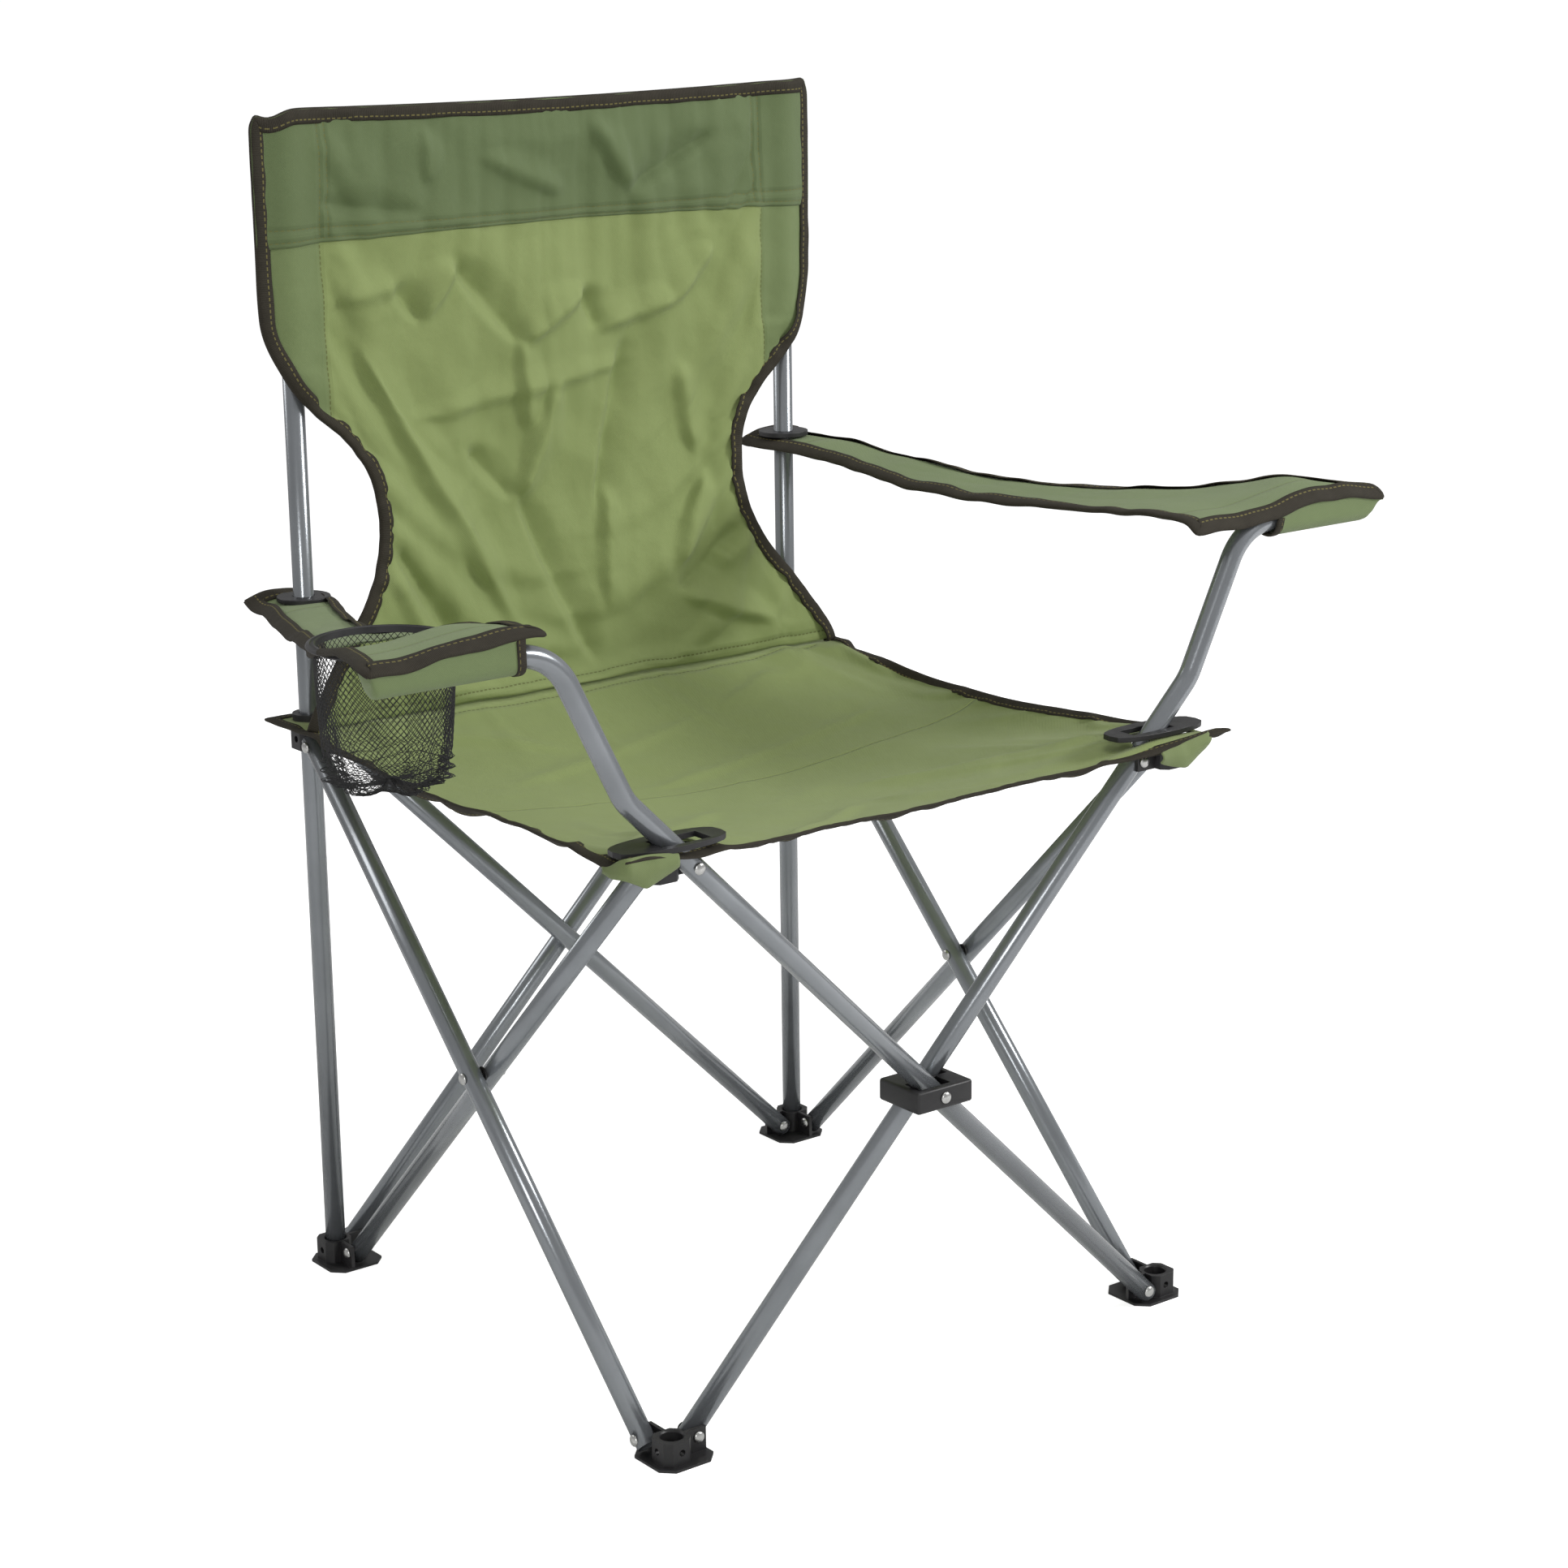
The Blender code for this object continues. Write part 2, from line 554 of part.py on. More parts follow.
def seat_height(x, y):
    """Returns the height of the seat's cloth: level corners, slack edges and a slack middle."""
    across = min(abs(x) / (HALF_WIDTH - SEAT_LEVEL), 1)
    level = HALF_DEPTH - SEAT_LEVEL
    back = min(max((y + level) / (2 * level), 0), 1)
    edge = SEAT_HEIGHT - 0.007 * sin(pi * back) ** 2
    slack = 0.014 * (1 - back) + 0.010 * sin(pi * back)
    return edge - slack * (1 - across**2) ** 1.5


def seat_half_width(y):
    """Returns half the seat's width, waisted at its middle."""
    end = SEAT_HALF_AT_FRONT if y < 0 else SEAT_HALF_AT_REAR
    return SEAT_HALF_AT_MIDDLE + (end - SEAT_HALF_AT_MIDDLE) * min(abs(y) / HALF_DEPTH, 1) ** 2


def seat_end(x, front):
    """Returns how far the seat reaches forwards or back at this distance from the middle."""
    if front:
        return -SEAT_FRONT_MIDDLE - (SEAT_FRONT_CORNER - SEAT_FRONT_MIDDLE) * smooth(
            (abs(x) / HALF_WIDTH - 0.1) / 0.95)
    inner = HALF_WIDTH - 0.045
    flare = smooth((abs(x) - inner) / 0.02)
    return SEAT_REAR_SEAM + CLOTH + (SEAT_REAR_CORNER - SEAT_REAR_SEAM - CLOTH) * flare


def add_sheet(name, columns, rows, surface, kind=GREEN, origin=(0, 0, 0)):
    """Adds a sheet of cloth: surface(u, v) gives the place of each grid point, u, v from 0 to 1."""
    def build(shape):
        bmesh.ops.create_grid(shape, x_segments=columns, y_segments=rows, size=0.5)
        for vertex in shape.verts:
            vertex.co = surface(vertex.co.x + 0.5, vertex.co.y + 0.5)
    sheet = add_part(name, mesh_of(build), kind, None, origin)
    thick = sheet.modifiers.new("cloth", "SOLIDIFY")
    thick.thickness = CLOTH
    thick.offset = 0
    return sheet


def add_seat(slots):
    """Adds the seat's two halves, which meet on the line it folds on."""
    def half(front):
        def surface(u, v):
            spread = 2 * u - 1
            x = spread * seat_half_width(0)
            end = seat_end(x, front)
            y = (end - end * GAP / abs(end)) * v + (-GAP if front else GAP) * (1 - v)
            x = spread * seat_half_width(y)
            return x, y, seat_height(x, y)
        return surface
    rear = add_sheet("seat_rear", 26, 8, half(False), GREEN, (0, HALF_DEPTH, SEAT_HEIGHT))
    front = add_sheet("seat_front", 16, 8, half(True), GREEN, (0, 0, SEAT_HEIGHT))
    combine(front, slots)
    for hand in (-1, 1):
        x = hand * HALF_WIDTH
        hole = rod_mesh((x, HALF_DEPTH, SEAT_HEIGHT - 0.05), (x, HALF_DEPTH, SEAT_HEIGHT + 0.05),
                        EYELET_RADIUS + GAP, 20)
        combine(rear, [add_cutter(hole)])


def add_seat_fittings(slots):
    """Adds the plates at the seat's front corners and the eyelets on the posts."""
    for hand, side, slot in ((-1, "left", slots[0]), (1, "right", slots[1])):
        steps = 12
        outline = []
        for step in range(2 * steps):
            turn = pi * step / steps
            width = PLATE_WIDTH / 2 * abs(sin(turn)) ** 0.6 * (1 if sin(turn) > 0 else -1)
            outline.append((PLATE_LENGTH / 2 * cos(turn), width))
        mesh = plate_mesh(outline, PLATE_BOTTOM, PLATE_BOTTOM + PLATE_THICKNESS)
        tube_y = -HALF_DEPTH + hand * TUBE_OFFSET
        place = Matrix.Translation((hand * (HALF_WIDTH - PLATE_INSET), tube_y + 0.001, 0))
        plate = add_part(f"seat_plate_{side}", mesh, PLASTIC, place)
        combine(plate, [slot])
        bottom = MOULDING_TOP + GAP
        x = hand * HALF_WIDTH
        collar = rod_mesh((x, HALF_DEPTH, bottom), (x, HALF_DEPTH, bottom + EYELET_HEIGHT),
                          EYELET_RADIUS, 20)
        eyelet = add_part(f"seat_eyelet_{side}", collar, PLASTIC)
        bore = rod_mesh((x, HALF_DEPTH, bottom - 0.01), (x, HALF_DEPTH, bottom + 0.02),
                        POST_BORE, 20)
        combine(eyelet, [add_cutter(bore)])


def back_half_width(height):
    """Returns half the back panel's width at a height, in straight runs between BACK_EDGE's sizes."""
    above = height - SEAT_HEIGHT - SEAM_ABOVE_SEAT
    for (high, wide), (low, narrow) in zip(BACK_EDGE, BACK_EDGE[1:]):
        if above >= low:
            return HALF_WIDTH + narrow + (wide - narrow) * (above - low) / (high - low)
    return HALF_WIDTH + BACK_EDGE[-1][1]


def back_depth(height):
    """Returns the panel's place in Y: before the posts above, curving forwards to the seam."""
    above = HALF_DEPTH - BACK_FRONT_OF_POST
    share = (height - SEAT_HEIGHT - SEAM_ABOVE_SEAT) / BACK_EDGE[2][0]
    fall = 1 - smooth(share) ** 0.7
    return above - (above - SEAT_REAR_SEAM) * fall


def add_back():
    """Adds the back panel with its two sleeves, closed at the top, over the posts."""
    def surface(u, v):
        height = SEAT_HEIGHT + (BACK_TOP - SEAT_HEIGHT) * v
        x = (2 * u - 1) * back_half_width(height)
        if v < 1e-6:
            height = seat_height(x, SEAT_REAR_SEAM) + CLOTH / 2 + GAP * 2
        return x, back_depth(height), height
    panel = add_sheet("back_panel", 10, 24, surface)
    for hand in (-1, 1):
        x = hand * HALF_WIDTH
        squash = Matrix.Diagonal((SLEEVE_HALF_WIDTH, SLEEVE_HALF_DEPTH, 1, 1))
        hollow = Matrix.Diagonal(
            (SLEEVE_HALF_WIDTH - SLEEVE_CLOTH, SLEEVE_HALF_DEPTH - SLEEVE_CLOTH, 1, 1))
        place = Matrix.Translation((x, HALF_DEPTH, 0))
        sleeve = rod_mesh((0, 0, SLEEVE_BOTTOM), (0, 0, BACK_TOP - CLOTH / 2), 1, 24)
        inside = rod_mesh((0, 0, SLEEVE_BOTTOM - 0.01), (0, 0, POST_TOP + GAP), 1, 24)
        combine(panel, [add_cutter(sleeve, place @ squash)], "UNION")
        combine(panel, [add_cutter(inside, place @ hollow)])


def arm_middle(hand, y):
    """Returns the middle line of an armrest's strip at a distance forwards or back."""
    front = -HALF_DEPTH + hand * TUBE_OFFSET
    along = min(max((HALF_DEPTH - y) / (HALF_DEPTH - front), 0), 1)
    x = ARM_REAR_X + (ARM_FRONT_X - ARM_REAR_X) * along + ARM_BOW[hand] * sin(pi * along) ** 2
    over_bar = ARM_BAR_HEIGHT + (ARM_SLEEVE_BORE + ARM_SLEEVE_RADIUS) / 2
    rear = ARM_REAR_HEIGHT[hand]
    height = rear + (over_bar - rear) * smooth(along) - ARM_SAG * sin(pi * along) ** 2
    half_width = 0.035 + 0.008 * along + 0.032 * along**3
    return hand * x, height, half_width


def add_armrest(hand, side):
    """Adds an armrest: a strip from the post to a closed sleeve over the front bar."""
    front = -HALF_DEPTH + hand * TUBE_OFFSET

    def surface(u, v):
        y = HALF_DEPTH + ARM_BEHIND_POST + (front - HALF_DEPTH - ARM_BEHIND_POST) * v
        x, height, half_width = arm_middle(hand, y)
        return x + (2 * u - 1) * half_width, y, height
    bar = Vector((0, front, ARM_BAR_HEIGHT))
    strip = add_sheet(f"armrest_{side}", 8, 20, surface)
    start = bar + Vector((hand * ARM_SLEEVE_START, 0, 0))
    end = bar + Vector((hand * ARM_SLEEVE_END, 0, 0))
    stop = bar + Vector((hand * (ARM_BAR_END + GAP), 0, 0))
    before = bar + Vector((hand * (ARM_SLEEVE_START - 0.01), 0, 0))
    combine(strip, [add_cutter(rod_mesh(start, end, ARM_SLEEVE_RADIUS, 20))], "UNION")
    combine(strip, [add_cutter(rod_mesh(before, stop, ARM_SLEEVE_BORE, 20))])
    x = hand * HALF_WIDTH
    height = arm_middle(hand, HALF_DEPTH)[1]
    hole = rod_mesh((x, HALF_DEPTH, height - 0.02), (x, HALF_DEPTH, height + 0.02),
                    ARM_HOLE_RADIUS, 20)
    combine(strip, [add_cutter(hole)])
    bottom = height + CLOTH / 2 + GAP
    ring_mesh = rod_mesh((x, HALF_DEPTH, bottom), (x, HALF_DEPTH, bottom + ARM_RING_THICKNESS),
                         ARM_RING_RADIUS, 24)
    ring = add_part(f"arm_ring_{side}", ring_mesh, PLASTIC, None, (x, HALF_DEPTH, bottom))
    bore = rod_mesh((x, HALF_DEPTH, bottom - 0.01), (x, HALF_DEPTH, bottom + 0.02), POST_BORE, 20)
    combine(ring, [add_cutter(bore)])
    return strip


def add_cup_holder(strip):
    """Adds the cup ring in the left armrest and the net pocket that hangs from it."""
    height = arm_middle(-1, CUP_Y)[1]
    low = height - CUP_RING_THICKNESS / 2
    high = height + CUP_RING_THICKNESS / 2
    place = Matrix.Translation((CUP_X, CUP_Y, 0))
    inner = CUP_RING_RADIUS - CUP_RING_WIDTH
    opening = rod_mesh((0, 0, height - 0.04), (0, 0, height + 0.04), CUP_RING_RADIUS + GAP, 32)
    combine(strip, [add_cutter(opening, place)])
    ring_profile = [(inner, low), (CUP_RING_RADIUS, low), (CUP_RING_RADIUS, high), (inner, high),
                    (inner, low)]
    add_part("cup_ring", turned_mesh(ring_profile, 32), PLASTIC, place)
    top = low - GAP
    wall = CLOTH / 2
    base = CUP_POCKET_BOTTOM
    floor = CUP_POCKET_BOTTOM_RADIUS
    pocket_profile = [
        (0, base), (floor, base), (CUP_POCKET_RADIUS + wall, top),
        (CUP_POCKET_RADIUS, top), (floor - wall, base + wall), (0, base + wall),
    ]
    add_part("cup_pocket", turned_mesh(pocket_profile, 24), NET, place)


def main():
    """Builds the chair."""
    clear_scene()
    for corner, name in enumerate(CORNER_NAMES):
        hung_on_outer = name in ("front_left", "rear_left")
        add_moulding(f"foot_{name}", corner, False, True, hung_on_outer)
        add_moulding_rivets(f"foot_{name}", corner, False)
    slots = [arm_slot(-1), arm_slot(1)]
    for corner, name in ((0, "bracket_left"), (1, "bracket_right")):
        bracket = add_moulding(name, corner, True, False, name == "bracket_right")
        combine(bracket, [slots[corner]])
        add_moulding_rivets(name, corner, True)
    for corner, name in ((3, "slider_left"), (2, "slider_right")):
        add_moulding(name, corner, True, True, True)
        add_moulding_rivets(name, corner, True)
    for side, name in enumerate(SIDE_NAMES):
        add_scissor_tube(side, outer=True)
        add_scissor_tube(side, outer=False)
        if name != "front":
            add_crossing(side)
    add_hub()
    add_posts()
    add_seat(slots)
    add_seat_fittings(slots)
    add_back()
    strips = {hand: add_armrest(hand, side) for hand, side in ((-1, "left"), (1, "right"))}
    add_cup_holder(strips[-1])


main()
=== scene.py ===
"""The looks of a folding camp chair: painted tubes, moulded fittings, sewn cloth and a net bag.

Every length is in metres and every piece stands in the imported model's own frame: the chair faces
-Y, the floor is z = 0, and left and right are as seen from the front.
"""

import json
import logging
import math
from dataclasses import dataclass
from enum import Enum
from typing import Callable, Sequence

import bmesh
import bpy
from mathutils import Matrix, Vector, noise


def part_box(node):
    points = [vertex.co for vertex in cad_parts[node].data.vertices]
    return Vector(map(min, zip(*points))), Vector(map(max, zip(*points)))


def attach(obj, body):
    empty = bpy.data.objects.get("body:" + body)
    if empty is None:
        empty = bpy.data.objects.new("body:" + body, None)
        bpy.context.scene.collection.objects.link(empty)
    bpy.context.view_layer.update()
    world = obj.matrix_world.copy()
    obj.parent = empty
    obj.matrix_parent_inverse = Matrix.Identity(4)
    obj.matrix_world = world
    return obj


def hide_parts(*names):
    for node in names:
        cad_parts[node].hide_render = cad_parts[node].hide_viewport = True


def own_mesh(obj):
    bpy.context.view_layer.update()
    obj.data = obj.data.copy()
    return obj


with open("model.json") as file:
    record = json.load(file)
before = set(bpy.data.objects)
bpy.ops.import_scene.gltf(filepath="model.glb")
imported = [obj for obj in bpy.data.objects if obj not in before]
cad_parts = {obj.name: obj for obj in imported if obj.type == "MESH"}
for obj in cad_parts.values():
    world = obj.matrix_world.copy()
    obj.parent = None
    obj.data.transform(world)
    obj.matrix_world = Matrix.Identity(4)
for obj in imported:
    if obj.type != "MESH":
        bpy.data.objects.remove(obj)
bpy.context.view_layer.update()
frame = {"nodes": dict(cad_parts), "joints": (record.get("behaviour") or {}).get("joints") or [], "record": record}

logging.basicConfig(level=logging.INFO, format="%(message)s")
LOG = logging.getLogger("camp_chair")

MERGE = 1e-5  # points closer than this are one point
CLOTH_WALL = 0.0009  # the coated cloth's thickness
SMOOTH = 180.0  # the sharpening angle of pieces with no sharp edge
POST_HOLE = 0.0125  # the radius of the hole in a cloth round a post
POST_PLACE = 0.235  # each post's distance from the chair's middle, in X and in Y
SEAM_HEIGHT = 0.455  # where the back panel is sewn to the seat
OPEN_SLOPE = math.radians(45)  # how steeply the scissor tubes stand when the chair is open
FOLDED_SLOPE = math.radians(85)  # the same when it is folded

Material = bpy.types.Material
Piece = bpy.types.Object
Socket = bpy.types.NodeSocket
Shape = bmesh.types.BMesh
Face = bmesh.types.BMFace
Colour = tuple[float, float, float, float]
Rows = list[list[Vector]]
Flats = list[list[tuple[float, float]]]


class Side(Enum):
    """Which side of the chair a piece is on, as seen from the front; the value is the sign of X."""

    LEFT = -1
    RIGHT = 1


class Slot(Enum):
    """The record's material slots."""

    TUBE = "tube_paint"
    PLASTIC = "black_plastic"
    ZINC = "zinc"
    CLOTH = "cloth"
    NET = "net"


def joint(name: str) -> dict:
    """Returns the record's joint of this name."""
    return next(found for found in frame["joints"] if found["name"] == name)


def smooth_step(value: float) -> float:
    """Returns 0 below 0, 1 above 1 and an S-curve between."""
    value = min(max(value, 0.0), 1.0)
    return value * value * (3 - 2 * value)


# ---------------------------------------------------------------- finishes


class Shader:
    """A material's node tree, with short ways to add to it."""

    def __init__(self, name: str) -> None:
        """Starts a material with a Principled surface."""
        self.material = bpy.data.materials.new(name)
        self.material.use_nodes = True
        self.tree = self.material.node_tree
        self.surface = self.tree.nodes["Principled BSDF"]

    def feed(self, socket: Socket, value: object) -> None:
        """Links or sets a socket."""
        if isinstance(value, Socket):
            self.tree.links.new(value, socket)
        else:
            socket.default_value = value

    def add(self, kind: str, **inputs: object) -> bpy.types.Node:
        """Adds a node and feeds its inputs, named with underscores for spaces."""
        node = self.tree.nodes.new(kind)
        for label, value in inputs.items():
            self.feed(node.inputs[label.replace("_", " ")], value)
        return node

    def math(self, operation: str, *values: object) -> Socket:
        """Adds a Math node.

        Args:
            operation: Blender's name for the operation.
            values: up to three numbers or sockets.

        Returns:
            The node's output.
        """
        node = self.tree.nodes.new("ShaderNodeMath")
        node.operation = operation
        for socket, value in zip(node.inputs, values):
            self.feed(socket, value)
        return node.outputs[0]

    def mix(self, share: object, first: object, second: object) -> Socket:
        """Mixes two colours by a share from 0 to 1 and returns the mixed colour."""
        node = self.tree.nodes.new("ShaderNodeMix")
        node.data_type = "RGBA"
        self.feed(node.inputs[0], share)
        self.feed(node.inputs[6], first)
        self.feed(node.inputs[7], second)
        return node.outputs[2]

    def noise(self, place: Socket, scale: float, detail: float) -> Socket:
        """Returns a noise value from 0 to 1 at this place."""
        return self.add("ShaderNodeTexNoise", Vector=place, Scale=scale, Detail=detail).outputs[0]

    def bump(self, height: object, distance: float, under: object = None) -> Socket:
        """Returns a normal that rises with height, in metres for a height of 1."""
        node = self.add("ShaderNodeBump", Height=height, Distance=distance, Strength=1.0)
        if under is not None:
            self.feed(node.inputs["Normal"], under)
        return node.outputs[0]

    def place(self, uv: bool) -> Socket:
        """Returns the piece's UV map, or its own object coordinates."""
        return self.tree.nodes.new("ShaderNodeTexCoord").outputs["UV" if uv else "Object"]

    def set(self, **values: object) -> None:
        """Feeds the Principled surface's sockets, named with underscores for spaces."""
        for label, value in values.items():
            self.feed(self.surface.inputs[label.replace("_", " ")], value)


@dataclass(frozen=True)
class PaintedSteel:
    """Grey metallic paint on steel tube, a little uneven and dusty."""

    colour: Colour = (0.30, 0.318, 0.338, 1)
    dull: Colour = (0.205, 0.218, 0.232, 1)

    def material(self) -> Material:
        """Returns the paint."""
        shader = Shader("grey_metallic_paint")
        place = shader.place(uv=False)
        flake = shader.noise(place, 2600, 2)
        cloud = shader.noise(place, 22, 5)
        share = shader.math("MULTIPLY_ADD", cloud, 1.1, -0.25)
        rough = shader.math("MULTIPLY_ADD", cloud, 0.12, 0.17)
        orange_peel = shader.bump(shader.noise(place, 420, 2), 0.00004)
        shader.set(
            Base_Color=shader.mix(share, self.colour, self.dull),
            Roughness=rough,
            Metallic=0.62,
            Coat_Weight=0.25,
            Coat_Roughness=0.10,
            Normal=shader.bump(flake, 0.000012, orange_peel),
        )
        return shader.material


@dataclass(frozen=True)
class MouldedPlastic:
    """Black polypropylene with a fine spark texture and worn, greyer high spots."""

    colour: Colour = (0.014, 0.0135, 0.0145, 1)
    worn: Colour = (0.045, 0.044, 0.045, 1)

    def material(self) -> Material:
        """Returns the plastic."""
        shader = Shader("black_moulded_plastic")
        place = shader.place(uv=False)
        grain = shader.noise(place, 1500, 3)
        cloud = shader.noise(place, 70, 4)
        edge = self.worn_edge(shader)
        share = shader.math("MULTIPLY", edge, shader.math("MULTIPLY_ADD", cloud, 1.2, -0.1))
        shader.set(
            Base_Color=shader.mix(share, self.colour, self.worn),
            Roughness=shader.math("MULTIPLY_ADD", cloud, 0.25, 0.3),
            Specular_IOR_Level=0.45,
            Normal=shader.bump(grain, 0.00005),
        )
        return shader.material

    @staticmethod
    def worn_edge(shader: Shader) -> Socket:
        """Returns about 1 on convex edges and 0 elsewhere."""
        sharp = shader.tree.nodes.new("ShaderNodeNewGeometry").outputs["Pointiness"]
        return shader.math("MULTIPLY_ADD", sharp, 12.0, -6.2)


@dataclass(frozen=True)
class ZincPlate:
    """Bright zinc on the rivets."""

    colour: Colour = (0.72, 0.72, 0.70, 1)
    dull: Colour = (0.42, 0.42, 0.41, 1)

    def material(self) -> Material:
        """Returns the plating."""
        shader = Shader("bright_zinc")
        place = shader.place(uv=False)
        cloud = shader.noise(place, 380, 4)
        shader.set(
            Base_Color=shader.mix(cloud, self.colour, self.dull),
            Roughness=shader.math("MULTIPLY_ADD", cloud, 0.25, 0.18),
            Metallic=1.0,
            Normal=shader.bump(cloud, 0.00003),
        )
        return shader.material


@dataclass(frozen=True)
class StitchLine:
    """A row of stitches at a fixed place across the cloth, from one place along it to another."""

    along_u: bool
    across: float
    start: float
    end: float


@dataclass(frozen=True)
class OxfordCloth:
    """Coated polyester oxford: a small basket weave with creases, faint random changes of tone and seams, with
    painted shade in each seam's groove.
    """

    name: str
    colour: Colour = (0.262, 0.322, 0.116, 1)
    shade: Colour = (0.185, 0.236, 0.080, 1)
    thread: Colour = (0.13, 0.15, 0.045, 1)
    weave: float = 0.0013
    crease: float = 0.0010
    lines: tuple[StitchLine, ...] = ()
    doubled: tuple[float, float] | None = None
    doubled_colour: Colour = (0.142, 0.192, 0.078, 1)
    weave_height: float = 0.00016
    stitch_length: float = 0.0042
    stitch_width: float = 0.0006
    stitch_height: float = 0.0007
    groove: float = 0.0035

    def material(self) -> Material:
        """Returns the cloth."""
        shader = Shader(self.name)
        uv = shader.place(uv=True)
        split = shader.add("ShaderNodeSeparateXYZ", Vector=uv)
        u, v = split.outputs[0], split.outputs[1]
        basket = self.basket(shader, u, v)
        cloud = shader.noise(uv, 7, 4)
        slub = shader.add("ShaderNodeMapping", Vector=uv, Scale=(900, 40, 1)).outputs[0]
        streak = shader.noise(slub, 1, 2)
        share = shader.math("MULTIPLY_ADD", cloud, 0.45, -0.1)
        share = shader.math("MULTIPLY_ADD", basket, -0.22, shader.math("ADD", share, 0.16))
        share = shader.math("MULTIPLY_ADD", streak, 0.22, share)
        colour = shader.mix(share, self.colour, self.shade)
        if self.doubled:
            outside = shader.math("GREATER_THAN", shader.math("ABSOLUTE", u), self.doubled[0])
            above = shader.math("GREATER_THAN", v, self.doubled[1])
            both = shader.math("MULTIPLY", shader.math("MULTIPLY", outside, above), 0.8)
            colour = shader.mix(both, colour, self.doubled_colour)
        normal = shader.bump(basket, self.weave_height, self.creased(shader))
        for line in self.lines:
            stitch, groove = self.row(shader, u, v, line)
            # painted shade: the cloth darkens along the groove that each stitch row pulls
            colour = shader.mix(shader.math("MULTIPLY", groove, 0.35), colour, self.shade)
            colour = shader.mix(stitch, colour, self.thread)
            dent = shader.math("SUBTRACT", shader.math("MULTIPLY", stitch, 0.6), groove)
            normal = shader.bump(dent, self.stitch_height, normal)
        shader.set(
            Base_Color=colour,
            Roughness=shader.math("MULTIPLY_ADD", cloud, 0.15, 0.62),
            Specular_IOR_Level=0.32,
            Sheen_Weight=0.12,
            Sheen_Roughness=0.5,
            Normal=normal,
        )
        return shader.material

    def basket(self, shader: Shader, u: Socket, v: Socket) -> Socket:
        """Returns the height of the basket weave, from 0 to 1."""
        turns = 2 * math.pi / self.weave
        warp = shader.math("SINE", shader.math("MULTIPLY", u, turns))
        weft = shader.math("SINE", shader.math("MULTIPLY", v, turns))
        return shader.math("MULTIPLY_ADD", shader.math("MULTIPLY", warp, weft), 0.5, 0.5)

    def creased(self, shader: Shader) -> Socket:
        """Returns the normal of small crumples, too fine for the mesh."""
        place = shader.place(uv=False)
        crumple = shader.add("ShaderNodeTexVoronoi", Vector=place, Scale=26.0, Randomness=1.0)
        crumple.feature = "SMOOTH_F1"
        fine = shader.noise(place, 55, 5)
        height = shader.math("MULTIPLY_ADD", fine, 0.6, crumple.outputs["Distance"])
        return shader.bump(height, self.crease)

    def row(self, shader: Shader, u: Socket, v: Socket, line: StitchLine) -> tuple[Socket, Socket]:
        """Returns the masks of a stitch row's threads and of the groove that it pulls; the groove mask dents the
        cloth and also paints shade into the groove.
        """
        across, along = (v, u) if line.along_u else (u, v)
        off = shader.math("ABSOLUTE", shader.math("SUBTRACT", across, line.across))
        middle = (line.start + line.end) / 2
        inside = shader.math("COMPARE", along, middle, abs(line.end - line.start) / 2)
        band = shader.math("LESS_THAN", off, self.stitch_width)
        beat = shader.math("FRACT", shader.math("DIVIDE", along, self.stitch_length))
        dash = shader.math("LESS_THAN", beat, 0.62)
        thread = shader.math("MULTIPLY", shader.math("MULTIPLY", band, dash), inside)
        slope = shader.math("SUBTRACT", 1.0, shader.math("DIVIDE", off, self.groove))
        return thread, shader.math("MULTIPLY", shader.math("MAXIMUM", slope, 0.0), inside)


@dataclass(frozen=True)
class BindingTape:
    """Dark ribbed tape sewn over raw edges with one row of olive stitches near its inner edge."""

    colour: Colour = (0.016, 0.0135, 0.009, 1)
    high: Colour = (0.052, 0.045, 0.032, 1)
    thread: Colour = (0.16, 0.14, 0.05, 1)
    rib: float = 0.0011
    stitch_length: float = 0.0046
    stitch_at: float = 0.22

    def material(self) -> Material:
        """Returns the tape. Its UV map runs in metres along it and from 0 to 1 across it."""
        shader = Shader("dark_binding_tape")
        split = shader.add("ShaderNodeSeparateXYZ", Vector=shader.place(uv=True))
        u, v = split.outputs[0], split.outputs[1]
        rib = shader.math("SINE", shader.math("MULTIPLY", u, 2 * math.pi / self.rib))
        rib = shader.math("MULTIPLY_ADD", rib, 0.5, 0.5)
        cloud = shader.noise(shader.place(uv=False), 120, 4)
        fold = shader.math("ABSOLUTE", shader.math("SUBTRACT", v, 0.5))
        off = shader.math("ABSOLUTE", shader.math("SUBTRACT", fold, 0.5 - self.stitch_at / 2))
        beat = shader.math("FRACT", shader.math("DIVIDE", u, self.stitch_length))
        dash = shader.math("LESS_THAN", beat, 0.6)
        thread = shader.math("MULTIPLY", shader.math("LESS_THAN", off, 0.018), dash)
        share = shader.math("MULTIPLY", shader.math("ADD", cloud, rib), 0.5)
        colour = shader.mix(share, self.colour, self.high)
        height = shader.math("MULTIPLY_ADD", thread, 2.2, rib)
        shader.set(
            Base_Color=shader.mix(thread, colour, self.thread),
            Roughness=0.78,
            Specular_IOR_Level=0.25,
            Normal=shader.bump(height, 0.00016),
        )
        return shader.material


@dataclass(frozen=True)
class NetCord:
    """Knitted black polyester net."""

    colour: Colour = (0.010, 0.010, 0.011, 1)
    fuzzy: Colour = (0.035, 0.035, 0.036, 1)

    def material(self) -> Material:
        """Returns the net's yarn."""
        shader = Shader("black_net_yarn")
        fuzz = shader.noise(shader.place(uv=False), 1800, 3)
        shader.set(
            Base_Color=shader.mix(fuzz, self.colour, self.fuzzy),
            Roughness=0.7,
            Normal=shader.bump(fuzz, 0.0001),
        )
        return shader.material


# ---------------------------------------------------------------- making pieces


